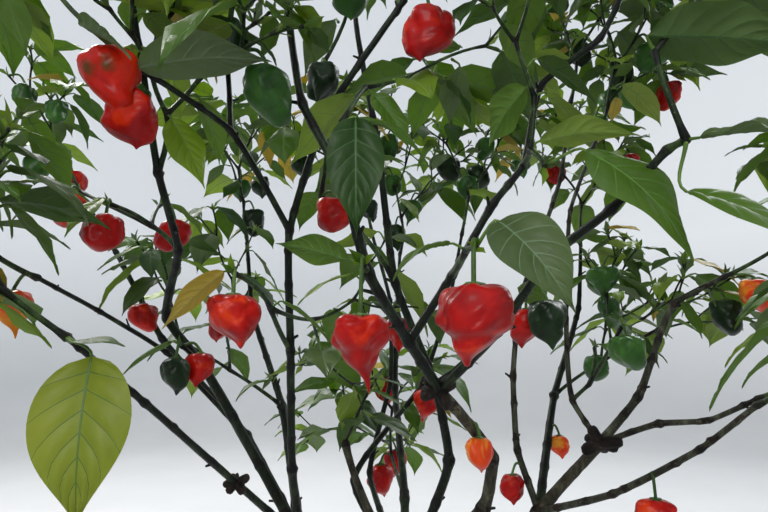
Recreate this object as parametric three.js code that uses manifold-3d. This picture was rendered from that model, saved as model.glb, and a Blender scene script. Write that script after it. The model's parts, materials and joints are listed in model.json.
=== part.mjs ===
// A tall chilli pepper plant, rooted in open ground. A short woody trunk divides into stems, and every
// stem divides again at swollen joints, as peppers do, into long bare boughs. Each bough carries an
// open mass of thin forking twigs with pointed leaves and hanging pods.
// Sizes are in millimetres and angles in degrees. +Z is up. The origin is the middle of the flat cut
// at ground level.
import * as THREE from "three";
import Module from "manifold-3d";

const wasm = await Module();
wasm.setup();

// Gap between two pieces that meet, and how far the root of a mass is sunk before that gap is cut.
const CLEAR = 0.3;
const ROOT_DEPTH = 5;
// Overlaps in cubic millimetres: less than the first is no touch, and a root shares more than the second.
const LEAST_OVERLAP = 0.001;
const ROOT_OVERLAP = 0.05;

// The crown's outline is an egg: nothing that grows by rule leaves it.
const CROWN_CENTRE = new THREE.Vector3(0, 70, 690);
const CROWN_HALF = new THREE.Vector3(660, 500, 610);
const LOWEST_LEAF = 330;

// Root flare: how far the trunk swells at the ground, and how fast the swelling dies away above it.
const FLARE = 11;
const FLARE_HEIGHT = 34;
const FLARE_LOBES = 5;
const FLARE_DEPTH = 3;
const TRUNK_SIDES = 12;
const TRUNK_RINGS = [0, 0.06, 0.16, 0.34, 0.62, 1];

// Stems are drawn with more sides than boughs, and every limb with a ring at each joint and about
// this often between.
const STEM_SIDES = 7;
const BOUGH_SIDES = 6;
const STEM_GIRTH = 15;
const RING_EVERY = 52;
// How strongly a limb's curve follows its direction at each joint: 1 is a round bend, 0 a sharp one.
const BEND_SOFTNESS = 0.5;
// Diagonals whose lengths differ by less than this are taken as equal.
const DIAGONAL_TIE = 0.001;

// A limb springs from a joint of its parent: joint 0 is the parent's foot and joint n the end of its
// n-th reach. Each reach is [heading from +X, rise above level, length]. foot and tip are diameters.
const LIMBS = [
  { name: "trunk", foot: 32, tip: 27, reaches: [[200, 87, 150], [0, 86, 160]] },
  { name: "stem_left", on: "trunk", joint: 2, foot: 20, tip: 16, reaches: [[173, 53, 185]] },
  {
    name: "stem_middle", on: "trunk", joint: 2, foot: 18, tip: 10.5,
    reaches: [[89, 86, 115], [-32, 41, 118], [-84, 58, 65], [-131, 39, 105]],
  },
  {
    name: "stem_right", on: "trunk", joint: 2, foot: 18, tip: 13.5,
    reaches: [[23, 43, 235], [-15, 48, 107]],
  },
  {
    name: "leader_left", on: "stem_left", joint: 1, foot: 10.5, tip: 6,
    reaches: [[-95, 61, 91], [-86, 67, 129], [-85, 66, 117], [-50, 58, 109], [-21, 52, 111]],
  },
  {
    name: "bough_near_upper_left", on: "leader_left", joint: 3, foot: 7, tip: 5,
    reaches: [[-123, 44, 101], [-132, 18, 77]],
  },
  {
    name: "bough_upper_left", on: "bough_near_upper_left", joint: 1, foot: 5.5, tip: 4.5,
    reaches: [[126, 77, 60], [125, 58, 130]],
  },
  {
    name: "bough_far_left", on: "stem_left", joint: 1, foot: 13, tip: 5.5,
    reaches: [[154, 52, 127], [154, 38, 182], [171, 57, 138], [162, 51, 126]],
  },
  {
    name: "bough_tall_left", on: "stem_left", joint: 1, foot: 13, tip: 4.5,
    reaches: [[-170, 59, 211], [-137, 50, 66], [-64, 40, 95], [-89, 44, 83], [-92, 62, 81], [-102, 69, 73]],
  },
  {
    name: "bough_low_left", on: "stem_left", joint: 1, foot: 9.5, tip: 5,
    reaches: [[-121, 38, 124], [-114, 36, 141], [-111, 34, 88]],
  },
  {
    name: "bough_left", on: "bough_far_left", joint: 1, foot: 6.5, tip: 4.5,
    reaches: [[-151, 46, 132], [-118, 26, 93], [-107, 19, 77]],
  },
  {
    name: "leader_near", on: "stem_middle", joint: 4, foot: 10.5, tip: 6,
    reaches: [[-127, 41, 61], [-123, 41, 76], [-174, 74, 73], [162, 62, 71], [147, 79, 96], [60, 75, 80]],
  },
  {
    name: "bough_near_right", on: "stem_middle", joint: 4, foot: 9, tip: 6,
    reaches: [[-53, 36, 82], [-53, 45, 75], [-39, 32, 50], [-44, 41, 48]],
  },
  {
    name: "bough_upper_right", on: "leader_near", joint: 1, foot: 8, tip: 5,
    reaches: [[-14, 56, 63], [-16, 59, 66], [11, 51, 42], [-36, 74, 67], [-29, 31, 54], [20, 60, 60]],
  },
  {
    name: "leader_middle", on: "stem_middle", joint: 1, foot: 12, tip: 5,
    reaches: [
      [-42, 64, 134], [-139, 76, 79], [-142, 63, 112],
      [-119, 75, 138], [-162, 80, 136], [60, 65, 90],
    ],
  },
  {
    name: "bough_back_centre_right", on: "stem_middle", joint: 1, foot: 10, tip: 5.5,
    reaches: [[130, 41, 119], [44, 41, 161], [42, 63, 134], [50, 70, 110]],
  },
  {
    name: "bough_back_centre", on: "stem_middle", joint: 1, foot: 9, tip: 5.5,
    reaches: [[110, 34, 140], [40, 73, 118], [91, 78, 111], [130, 68, 110]],
  },
  {
    name: "bough_right", on: "stem_right", joint: 2, foot: 12, tip: 6.5,
    reaches: [[-11, 50, 69], [3, 64, 119], [-27, 29, 61]],
  },
  {
    name: "bough_right_level", on: "stem_right", joint: 2, foot: 8.5, tip: 5.5,
    reaches: [[-43, 23, 71], [-42, 9, 49], [-48, 28, 51]],
  },
  {
    name: "bough_tall_right", on: "stem_right", joint: 2, foot: 8, tip: 5,
    reaches: [[153, 59, 55], [-113, 80, 113], [7, 84, 117], [15, 66, 90]],
  },
  {
    name: "bough_lowest_right", on: "stem_right", joint: 1, foot: 9.5, tip: 5.5,
    reaches: [[-59, 22, 111], [-55, 32, 107], [-51, 41, 64]],
  },
  {
    name: "leader_right", on: "stem_right", joint: 1, foot: 10, tip: 5.5,
    reaches: [[123, 65, 71], [100, 87, 90], [22, 81, 96], [-6, 70, 170], [-8, 80, 110]],
  },
  {
    name: "bough_back_left", on: "stem_left", joint: 1, foot: 13, tip: 6,
    reaches: [[112, 48, 170], [128, 52, 160], [118, 66, 130]],
  },
  {
    name: "bough_back_right", on: "stem_right", joint: 1, foot: 13, tip: 6,
    reaches: [[62, 46, 170], [48, 52, 160], [60, 66, 130]],
  },
  {
    name: "bough_back", on: "trunk", joint: 2, foot: 14, tip: 6,
    reaches: [[88, 54, 200], [95, 50, 170], [84, 64, 150], [80, 75, 80]],
  },
];

// A mass grows from a joint of its limb, or from its tip where no joint is given. first is the length
// of its stem along the limb's own direction, and forks is how often the rule divides it. Where twigs
// are listed they come first: each is a way [heading, rise, length] with the leaves, pods and twigs at
// its end, and the rule goes on from it forks times. A leaf's stalk and blade are ways too.
const MASSES = [
  {
    name: "foliage_near_upper_left", on: "bough_near_upper_left", seed: 11,
    twigs: [{
      way: [-137, 25, 19],
      leaves: [{ stalk: [-11, -42, 21], blade: [5, 10, 92], width: 46, roll: -15 }],
      pods: [{ heading: 65, width: 36, reach: 14, drop: 26, length: 1.1 }],
      twigs: [{
        way: [-124, 20, 23],
        leaves: [{ stalk: [-122, -13, 7], blade: [-19, -31, 60], width: 28, roll: -20 }],
        pods: [{ heading: 60, width: 37, reach: 17, drop: 9 }],
        twigs: [{ way: [178, 50, 55], forks: 2 }],
      }],
    }],
  },
  { name: "foliage_upper_left", on: "bough_upper_left", first: 55, forks: 3, seed: 12 },
  { name: "foliage_top_left", on: "bough_tall_left", first: 65, forks: 3, seed: 13 },
  { name: "foliage_far_left", on: "bough_far_left", first: 55, forks: 3, seed: 14 },
  { name: "foliage_left", on: "bough_left", first: 45, forks: 3, seed: 15 },
  {
    name: "foliage_low_left", on: "bough_low_left", seed: 16,
    twigs: [{
      way: [-63, 0, 17],
      leaves: [
        { stalk: [-22, -27, 27], blade: [-70, -74, 100], width: 61, roll: 12 },
        { stalk: [-38, -17, 13], blade: [-19, 2, 40], width: 19, roll: 10 },
      ],
      twigs: [{ way: [-152, 38, 45], forks: 2 }],
    }],
  },
  { name: "foliage_top", on: "leader_near", first: 65, forks: 3, seed: 17 },
  { name: "foliage_top_middle", on: "leader_middle", first: 65, forks: 3, seed: 18 },
  {
    name: "foliage_top_near", on: "leader_left", seed: 19,
    twigs: [{
      way: [-52, 46, 12],
      pods: [{ heading: -20, width: 38, reach: 16, drop: 25, length: 1.25 }],
      twigs: [{ way: [-15, 64, 80], forks: 3 }],
    }],
  },
  { name: "foliage_upper_right", on: "bough_upper_right", first: 60, forks: 3, seed: 20 },
  {
    name: "foliage_near_right", on: "bough_near_right", seed: 21,
    twigs: [{
      way: [-59, 11, 13],
      leaves: [
        { stalk: [-130, -70, 38], blade: [-20, -36, 84], width: 44, roll: 30 },
        { stalk: [-59, -10, 8], blade: [-25, -4, 70], width: 36, roll: 20 },
      ],
      twigs: [{
        way: [177, 76, 60],
        leaves: [{ stalk: [-147, 60, 11], blade: [-9, -6, 88], width: 46, roll: -25 }],
        twigs: [{ way: [10, 48, 60], forks: 2 }],
      }],
    }],
  },
  { name: "foliage_right", on: "bough_right", first: 60, forks: 3, seed: 22 },
  { name: "foliage_right_level", on: "bough_right_level", first: 45, forks: 2, seed: 23 },
  { name: "foliage_tall_right", on: "bough_tall_right", first: 65, forks: 3, seed: 24 },
  { name: "foliage_lowest_right", on: "bough_lowest_right", first: 45, forks: 2, seed: 25 },
  { name: "foliage_top_right", on: "leader_right", first: 65, forks: 3, seed: 26 },
  { name: "foliage_back_centre_right", on: "bough_back_centre_right", first: 70, forks: 3, seed: 27 },
  { name: "foliage_back_centre", on: "bough_back_centre", first: 70, forks: 3, seed: 28 },
  { name: "foliage_back_left", on: "bough_back_left", first: 70, forks: 3, seed: 29 },
  { name: "foliage_back_right", on: "bough_back_right", first: 70, forks: 3, seed: 30 },
  { name: "foliage_back", on: "bough_back", first: 70, forks: 3, seed: 31 },
  {
    name: "foliage_back_lower_left", on: "bough_back_left", joint: 1, seed: 32,
    twigs: [{ way: [165, 30, 90], forks: 3 }],
  },
  {
    name: "foliage_back_lower_right", on: "bough_back_right", joint: 1, seed: 33,
    twigs: [{ way: [15, 30, 90], forks: 3 }],
  },
  {
    name: "foliage_back_lower", on: "bough_back", joint: 1, seed: 34,
    twigs: [{ way: [100, 22, 95], forks: 3 }],
  },
  {
    name: "foliage_centre_near", on: "bough_upper_right", joint: 1, seed: 41,
    twigs: [{
      way: [-88, 9, 63],
      leaves: [{ stalk: [-170, 20, 12], blade: [-160, -28, 50], width: 24, roll: 0 }],
      twigs: [{
        way: [-92, -8, 50],
        leaves: [{ stalk: [20, 46, 24], blade: [-42, -50, 72], width: 46, roll: 50 }],
        pods: [{ heading: -110, width: 45, reach: 8, drop: 24, length: 1 }],
      }],
    }],
  },
  {
    name: "foliage_middle", on: "leader_near", joint: 2, seed: 42,
    twigs: [{
      way: [-99, 8, 19],
      leaves: [{ stalk: [-170, 20, 12], blade: [-160, 12, 50], width: 24, roll: 40 }],
      pods: [{ heading: -95, width: 38, reach: 12, drop: 36, length: 1.3 }],
    }],
  },
  {
    name: "foliage_left_centre", on: "leader_left", joint: 2, seed: 43,
    twigs: [{
      way: [-100, 34, 66],
      leaves: [{ stalk: [20, 30, 12], blade: [5, -35, 55], width: 26, roll: 0 }],
      twigs: [
        {
          way: [-108, 22, 62],
          leaves: [{ stalk: [-172, 10, 8], blade: [-172, -42, 62], width: 26, roll: 35 }],
          pods: [{ heading: -75, width: 36, reach: 10, drop: 18 }],
        },
        { way: [72, -4, 86], forks: 2 },
      ],
    }],
  },
  {
    name: "foliage_inner", on: "leader_middle", joint: 3, seed: 44,
    twigs: [{
      way: [-173, 49, 113],
      leaves: [{ stalk: [110, 30, 12], blade: [120, -25, 60], width: 30, roll: 0 }],
      pods: [{ heading: -35, width: 35, reach: 18, drop: 6, length: 0.95 }],
      twigs: [{
        way: [-85, 63, 122],
        pods: [{ heading: -73, width: 30, reach: 13, drop: 5 }],
        forks: 2,
      }],
    }],
  },
  {
    name: "foliage_left_inner", on: "bough_tall_left", joint: 3, seed: 45,
    twigs: [{
      way: [172, 40, 38],
      twigs: [
        {
          way: [-160, 26, 40],
          leaves: [{ stalk: [-120, 20, 10], blade: [-110, -45, 56], width: 28, roll: 0 }],
          pods: [{ heading: -80, width: 38, reach: 12, drop: 14, length: 0.9 }],
        },
        {
          way: [105, 34, 56],
          leaves: [{ stalk: [80, 30, 10], blade: [60, -20, 62], width: 30, roll: 20 }],
          pods: [{ heading: 20, width: 33, reach: 16, drop: 16, length: 1 }],
        },
        {
          way: [158, 24, 108],
          leaves: [{ stalk: [-170, 20, 10], blade: [-150, -35, 64], width: 32, roll: 0 }],
          pods: [{ heading: -100, width: 35, reach: 16, drop: 8, length: 1 }],
        },
      ],
    }],
  },
  {
    name: "foliage_centre_right", on: "bough_upper_right", joint: 3, seed: 46,
    twigs: [{
      way: [-95, 3, 33],
      leaves: [{ stalk: [20, 40, 12], blade: [-8, 4, 72], width: 28, roll: -30 }],
      twigs: [
        {
          way: [-86, -37, 37],
          leaves: [{ stalk: [-25, 6, 18], blade: [-15, -49, 97], width: 46, roll: 55 }],
        },
        {
          way: [27, 81, 45],
          leaves: [{ stalk: [169, 52, 10], blade: [178, -55, 58], width: 36, roll: 50 }],
          forks: 2,
        },
      ],
    }],
  },
  {
    name: "foliage_centre_inner", on: "leader_middle", joint: 2, seed: 47,
    twigs: [{
      way: [-22, 45, 134],
      leaves: [{ stalk: [60, 30, 12], blade: [70, -25, 62], width: 30, roll: 0 }],
      pods: [
        { heading: -30, width: 38, reach: 18, drop: 14 },
        { heading: 80, width: 32, reach: 20, drop: 20 },
      ],
    }],
  },
  {
    name: "foliage_right_inner", on: "bough_tall_right", joint: 1, seed: 48,
    twigs: [{
      way: [-20, 43, 27],
      twigs: [
        { way: [35, 43, 70], forks: 2 },
        { way: [-80, 42, 98], pods: [{ heading: -90, width: 36, reach: 8, drop: 10, length: 1 }] },
        {
          way: [60, 40, 66],
          leaves: [{ stalk: [30, 30, 10], blade: [20, -30, 60], width: 30, roll: 0 }],
          pods: [{ heading: 60, width: 32, reach: 8, drop: 10, length: 1 }],
        },
      ],
    }],
  },
  {
    name: "foliage_hanging_near", on: "leader_near", joint: 3, seed: 49,
    twigs: [{
      way: [-85, 45, 43],
      leaves: [
        { stalk: [-20, 10, 10], blade: [-84, -80, 86], width: 42, roll: 6 },
        { stalk: [20, 20, 10], blade: [-9, -30, 60], width: 22, roll: 30 },
      ],
      twigs: [{
        way: [77, 42, 80],
        leaves: [{ stalk: [-5, -40, 8], blade: [-5, -55, 56], width: 26, roll: 55 }],
        forks: 2,
      }],
    }],
  },
  {
    name: "foliage_left_lower", on: "bough_tall_left", joint: 1, seed: 50,
    twigs: [{
      way: [-107, 30, 44],
      leaves: [{ stalk: [-170, 30, 10], blade: [-175, -30, 58], width: 28, roll: 0 }],
      pods: [
        { heading: -90, width: 30, reach: 14, drop: 12 },
        { heading: 40, width: 28, reach: 20, drop: 8 },
      ],
    }],
  },
  {
    name: "foliage_left_upper", on: "bough_tall_left", joint: 4, seed: 51,
    twigs: [{
      way: [-60, 50, 52],
      leaves: [{ stalk: [-35, -41, 8], blade: [4, -61, 64], width: 32, roll: 60 }],
      forks: 3,
    }],
  },
];

// The rule that every mass grows by. Lengths and radii shrink by these shares at each fork, and the
// two new shoots lean this far from the old one, to the side away from the leaf at the fork.
const FORK_ANGLE = 32;
const FORK_ANGLE_SWAY = 9;
const FORK_SPREAD = 74;
const FORK_TURN = 100;
const FORK_TURN_SWAY = 30;
const SHOOT_SHARE = 0.86;
const SHOOT_SWAY = 0.2;
const SEEKS_LIGHT = 0.15;
const STEM_RADIUS = 2.6;
const THINNING = 0.84;
const LEAST_RADIUS = 1.3;
// How far a new shoot keeps from limbs and from every shoot that is not its own kin.
const LIMB_GAP = 7;
const SHOOT_GAP = 15;
// How high the apex of a fork stands over it, in radii.
const APEX_RISE = 1.3;
// What grows at a node within this angle of its shoot goes straight on.
const STRAIGHT_ON = 18;

// Leaves that grow by the rule. Lengths are the blade's, and the stalk is a share of it.
const LEAF_LENGTH = 84;
const LEAF_LENGTH_SWAY = 0.22;
const LEAF_WIDTH = 0.5;
const LEAF_DROOP = 26;
const LEAF_DROOP_SWAY = 26;
const LEAF_TURN_SWAY = 22;
const LEAF_ROLL_SWAY = 25;
const STALK_SHARE = 0.2;
const ROSETTE = [-64, 64, 180];
const LEVEL_ROSETTE = [-64, 64, 0];
const STEEP = 40;
// Where a leaf has no room it is tried again, turned by this much and cut to this share of its length.
const LEAF_TRIES = [[0, 1], [28, 0.85], [-28, 0.85], [0, 0.65]];
const FORK_LEAF_CHANCE = 0.7;
const THIRD_LEAF_CHANCE = 0.7;
// The shape of every blade, as shares of its length and width.
const BLADE_WIDEST = 0.4;
const BLADE_THICK = 0.022;
const BLADE_DIP = 0.1;
const STALK_RADIUS = 1;
// How much nearer a leaf keeps to its own twigs than to another mass's.
const SPACE_GAP = 1.5;

// Pods that grow by the rule, and the shape of every pod as [out, down] shares of its width and length.
const POD_CHANCE = 0.24;
const POD_WIDTH = 34;
const POD_WIDTH_SWAY = 0.16;
const POD_REACH = 16;
const POD_DROP = 12;
// Where a pod has no room it is tried again, this much further out.
const POD_TRIES = [0, 5, 10, 16];
const POD_LENGTH = 1.2;
const POD_RINGS = [[0.42, 0.03], [0.5, 0.34], [0.31, 0.7]];
const PEDICEL_RADIUS = 1.4;
const PEDICEL_RISE = 3;
const POD_NECK = 0.1;

const LEAF_GREEN = 0x5c8a2c;
const BARK_GREEN = 0x3d4a2b;
const BARK_BROWN = 0x5b4a3a;

const UP = new THREE.Vector3(0, 0, 1);
const rad = THREE.MathUtils.degToRad;

// The unit vector with this heading and rise.
function toward(heading, rise) {
  const level = Math.cos(rad(rise));
  return new THREE.Vector3(
    level * Math.cos(rad(heading)),
    level * Math.sin(rad(heading)),
    Math.sin(rad(rise)),
  );
}

function headingOf(direction) {
  return Math.atan2(direction.y, direction.x) * THREE.MathUtils.RAD2DEG;
}

// The part of a direction that is square to an axis, as a unit vector.
function squareTo(axis, direction) {
  return direction.clone().addScaledVector(axis, -direction.dot(axis)).normalize();
}

// A unit vector square to an axis, level where it can be.
function sideOf(axis) {
  return squareTo(axis, Math.abs(axis.z) > 0.9 ? new THREE.Vector3(1, 0, 0) : UP);
}

function along(start, direction, length) {
  return start.clone().addScaledVector(direction, length);
}

// A repeatable stream of numbers from 0 to 1, and the same from -1 to 1.
function seeded(seed) {
  let state = seed | 0;
  const random = () => {
    state = (state + 0x6d2b79f5) | 0;
    let mixed = Math.imul(state ^ (state >>> 15), 1 | state);
    mixed = (mixed + Math.imul(mixed ^ (mixed >>> 7), 61 | mixed)) ^ mixed;
    return ((mixed ^ (mixed >>> 14)) >>> 0) / 4294967296;
  };
  return { random, sway: () => random() * 2 - 1 };
}

// A limb's centre line: a smooth curve through its joints.
class LimbCurve extends THREE.Curve {
  constructor(foot, reaches) {
    super();
    this.joints = [foot.clone()];
    this.headings = reaches.map(([heading, rise]) => toward(heading, rise));
    this.lengths = reaches.map(([, , length]) => length);
    this.headings.forEach((heading, i) => this.joints.push(along(this.joints[i], heading, this.lengths[i])));
  }

  directionAt(joint) {
    const before = this.headings[Math.max(joint - 1, 0)];
    const after = this.headings[Math.min(joint, this.headings.length - 1)];
    return before.clone().add(after).normalize();
  }

  getPoint(share, target = new THREE.Vector3()) {
    const whole = Math.min(share * this.headings.length, this.headings.length - 1e-9);
    const i = Math.floor(whole);
    const t = whole - i;
    const pull = this.lengths[i] * BEND_SOFTNESS;
    return target
      .set(0, 0, 0)
      .addScaledVector(this.joints[i], (1 + 2 * t) * (1 - t) ** 2)
      .addScaledVector(this.directionAt(i), pull * t * (1 - t) ** 2)
      .addScaledVector(this.joints[i + 1], t * t * (3 - 2 * t))
      .addScaledVector(this.directionAt(i + 1), pull * t * t * (t - 1));
  }

  // Where its rings stand, as shares of the curve: at each joint and evenly between.
  ringShares() {
    const shares = this.lengths.flatMap((length, i) => {
      const steps = Math.max(1, Math.round(length / RING_EVERY));
      return Array.from({ length: steps }, (_, k) => (i + k / steps) / this.lengths.length);
    });
    return [...shares, 1];
  }
}

// Points evenly round a centre, square to a direction. The first lies toward facing.
function ring(centre, direction, facing, sides, radiusAt) {
  const side = squareTo(direction, facing);
  const other = new THREE.Vector3().crossVectors(direction, side);
  return Array.from({ length: sides }, (_, k) => {
    const angle = (2 * Math.PI * k) / sides;
    const radius = radiusAt(angle);
    return along(along(centre, side, radius * Math.cos(angle)), other, radius * Math.sin(angle));
  });
}

// A surface under construction: points, and triangles between them that face outwards.
class Skin {
  points = [];
  faces = [];

  place(points) {
    const first = this.points.length;
    this.points.push(...points);
    return points.map((_, k) => first + k);
  }

  apart(one, other) {
    return this.points[one].distanceTo(this.points[other]);
  }

  // Joins two rings of equal count. Each square is cut along a diagonal that is not the longer one, so
  // that a twisted band keeps its girth.
  band(from, to) {
    from.forEach((a, k) => {
      const next = (k + 1) % from.length;
      const [b, c, d] = [from[next], to[next], to[k]];
      if (this.apart(b, d) < this.apart(a, c) - DIAGONAL_TIE) this.faces.push([a, b, d], [b, c, d]);
      else this.faces.push([a, b, c], [a, c, d]);
    });
  }

  // Joins a ring to one with twice its count.
  widen(from, to) {
    from.forEach((a, k) => {
      const next = (k + 1) % from.length;
      const [c, d, e] = [to[2 * k], to[2 * k + 1], to[(2 * k + 2) % to.length]];
      this.faces.push([a, from[next], d], [a, d, c], [from[next], e, d]);
    });
  }

  // Joins a ring to one point ahead of it.
  taper(from, tip) {
    from.forEach((a, k) => this.faces.push([a, from[(k + 1) % from.length], tip]));
  }

  // Closes a ring, facing back.
  cap(from) {
    for (let k = 1; k + 1 < from.length; k += 1) this.faces.push([from[0], from[k + 1], from[k]]);
  }

  // Starts the points of a three-point ring where it leaves the band from another least twisted.
  untwisted(from, points) {
    const sum = (list) => list.reduce((total, p) => total.add(p), new THREE.Vector3());
    const middle = (list) => sum(list).divideScalar(list.length);
    const own = middle(points);
    const base = from.map((i) => this.points[i]);
    const start = middle(base);
    const agreement = (shift) =>
      base.reduce((total, p, k) => {
        const spoke = points[(k + shift) % points.length].clone().sub(own).normalize();
        return total + p.clone().sub(start).normalize().dot(spoke);
      }, 0);
    const shift = [0, 1, 2].reduce((best, s) => (agreement(s) > agreement(best) ? s : best));
    return points.map((_, k) => points[(k + shift) % points.length]);
  }

  solid() {
    return new wasm.Manifold(
      new wasm.Mesh({
        numProp: 3,
        vertProperties: new Float32Array(this.points.flatMap((p) => [p.x, p.y, p.z])),
        triVerts: new Uint32Array(this.faces.flat()),
      }),
    );
  }
}

// A closed tube through rings of points.
function tube(rings) {
  const skin = new Skin();
  let last = skin.place(rings[0]);
  skin.cap(last);
  for (const points of rings.slice(1)) {
    const next = skin.place(points);
    skin.band(last, next);
    last = next;
  }
  skin.cap([...last].reverse());
  return skin.solid();
}

// The rings of a limb, swollen by extra all round and at its ends. Its foot is sunk into its parent.
function limbRings(limb, extra) {
  const { curve, foot, tip } = limb;
  const sides = foot > STEM_GIRTH ? STEM_SIDES : BOUGH_SIDES;
  const sunk = along(curve.joints[0], curve.headings[0], -extra - foot / 3);
  const endShift = (share) => (share === 1 ? extra : 0);
  let facing = sideOf(curve.headings[0]);
  return curve.ringShares().map((share) => {
    const direction = share === 0 ? curve.headings[0] : curve.getTangent(share);
    facing = squareTo(direction, facing);
    const centre = share === 0 ? sunk : along(curve.getPoint(share), direction, endShift(share));
    const radius = foot / 2 + ((tip - foot) / 2) * share + extra;
    return ring(centre, direction, facing, sides, () => radius);
  });
}

// The trunk's rings: level at the ground, where the root flare swells into lobes.
function trunkRings(limb, extra) {
  const { curve, foot, tip } = limb;
  return TRUNK_RINGS.map((share) => {
    const direction = share === 0 ? UP : curve.getTangentAt(share);
    const swelling = Math.exp((-share * curve.getLength()) / FLARE_HEIGHT);
    const radius = foot / 2 + ((tip - foot) / 2) * share + extra;
    const shape = (angle) => radius + swelling * (FLARE + FLARE_DEPTH * Math.cos(FLARE_LOBES * angle));
    const centre = along(curve.getPointAt(share), direction, share === 1 ? extra : 0);
    return ring(centre, direction, new THREE.Vector3(1, 0, 0), TRUNK_SIDES, shape);
  });
}

// Every limb with its centre line, in the order of the table.
function grownLimbs() {
  const grown = new Map();
  for (const row of LIMBS) {
    const parent = grown.get(row.on);
    const foot = parent ? parent.curve.joints[row.joint] : new THREE.Vector3();
    grown.set(row.name, { ...row, curve: new LimbCurve(foot, row.reaches) });
  }
  return grown;
}

// Each limb is trimmed where it would run into one that was made before it, and stands CLEAR of it.
function limbSolids(limbs) {
  const solids = new Map();
  const swollen = [];
  for (const limb of limbs.values()) {
    const ringsOf = limb.name === "trunk" ? trunkRings : limbRings;
    let solid = tube(ringsOf(limb, 0));
    for (const other of swollen) solid = solid.subtract(other);
    solids.set(limb.name, mainBody(solid));
    swollen.push(tube(ringsOf(limb, CLEAR)));
  }
  return { solids, swollen };
}

function overlap(solid, other) {
  return solid.intersect(other).volume();
}

// The largest body of a solid, without loose scraps.
function mainBody(solid) {
  return solid.decompose().reduce((best, body) => (body.volume() > best.volume() ? body : best));
}

// The limbs as short straight capsules, for tests of distance.
function capsulesOf(limbs) {
  return [...limbs.values()].flatMap(({ curve, reaches, foot, tip }) => {
    const steps = reaches.length * 4;
    return Array.from({ length: steps }, (_, i) => ({
      start: curve.getPoint(i / steps),
      end: curve.getPoint((i + 1) / steps),
      radius: (foot + ((tip - foot) * i) / steps) / 2,
    }));
  });
}

// The distance from a point to the skin of a capsule or a shoot.
function gapTo(point, { start, end, radius }) {
  const span = end.clone().sub(start);
  const share = THREE.MathUtils.clamp(point.clone().sub(start).dot(span) / span.lengthSq(), 0, 1);
  return point.distanceTo(along(start, span, share)) - radius;
}

function inCrown(point) {
  return point.z > LOWEST_LEAF && point.clone().sub(CROWN_CENTRE).divide(CROWN_HALF).length() < 1;
}

// A shoot from a start, with nothing growing on it yet. side is where the leaf at its end will stand.
function shootFrom({ mass, id, kin, start, heading, length, radius, side, forks, ruled }) {
  const thin = Math.max(radius * THINNING, LEAST_RADIUS);
  const end = along(start, heading, length);
  return {
    mass, id, kin, start, end, heading, length, radius, thin, side, forks, ruled,
    growths: [], blocked: [],
  };
}

// The shoots that a mass's own table lists, down to those that the rule goes on from.
function listedShoots(mass) {
  const shoots = [];
  const list = (rows, start, radius, id, kin) => {
    rows.forEach((row, k) => {
      const [heading, rise, length] = row.way;
      const direction = toward(heading, rise);
      const side = sideOf(direction).applyAxisAngle(direction, rad(mass.seed * 47));
      const shoot = shootFrom({
        mass, id: id * 3 + k + 1, kin, start, heading: direction, length, radius, side,
        forks: row.forks ?? 0, ruled: row.forks > 0,
      });
      shoots.push(shoot);
      kin?.growths.push({ shoot, direction });
      for (const pod of row.pods ?? []) shoot.growths.push(listedPod(shoot, pod));
      for (const leaf of row.leaves ?? []) shoot.growths.push(listedLeaf(shoot, leaf));
      list(row.twigs ?? [], shoot.end, shoot.thin, shoot.id, shoot);
    });
  };
  list(mass.twigs, mass.start, STEM_RADIUS, 0, null);
  return shoots;
}

function listedLeaf(shoot, { stalk, blade, width, roll }) {
  const direction = toward(stalk[0], stalk[1]);
  const start = along(shoot.end, direction, stalk[2]);
  return { choices: [{ leaf: leafOf(start, blade[0], -blade[1], roll, blade[2], width) }], direction };
}

function listedPod(shoot, { heading, width, reach, drop, length = POD_LENGTH }) {
  return podOf(shoot, toward(heading, 0), width, width * length, reach, drop);
}

// A pod that hangs beside the end of a shoot, with choices that stand further and further out.
function podOf(shoot, direction, width, length, reach, drop) {
  const choices = POD_TRIES.map((further) => {
    return { pod: { node: shoot.end, direction, width, length, reach: reach + further, drop } };
  });
  return { choices, direction };
}

// A blade: where it starts, its three axes and its size.
function leafOf(start, heading, droop, roll, length, width) {
  const forward = toward(heading, -droop);
  const across = new THREE.Vector3(-Math.sin(rad(heading)), Math.cos(rad(heading)), 0);
  across.applyAxisAngle(forward, rad(roll));
  return { start, forward, across, above: new THREE.Vector3().crossVectors(forward, across), length, width };
}

// The leaf that the rule gives a node toward a heading: a few choices, of which the first that has
// room is taken.
function ruledLeaf(shoot, heading, draw) {
  const full = LEAF_LENGTH * (1 + LEAF_LENGTH_SWAY * draw.sway());
  const first = heading + LEAF_TURN_SWAY * draw.sway();
  const droop = LEAF_DROOP + LEAF_DROOP_SWAY * draw.sway();
  const roll = LEAF_ROLL_SWAY * draw.sway();
  const choices = LEAF_TRIES.map(([turn, share]) => {
    const length = full * share;
    const stalk = toward(first + turn, -droop).add(shoot.heading).normalize();
    const start = along(shoot.end, stalk, length * STALK_SHARE);
    return { leaf: leafOf(start, first + turn, droop, roll, length, length * LEAF_WIDTH) };
  });
  return { choices, direction: toward(first, -droop).add(shoot.heading).normalize() };
}

function ruledPod(shoot, heading, draw) {
  const width = POD_WIDTH * (1 + POD_WIDTH_SWAY * draw.sway());
  return podOf(shoot, toward(heading, 0), width, width * POD_LENGTH, POD_REACH, POD_DROP);
}

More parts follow.
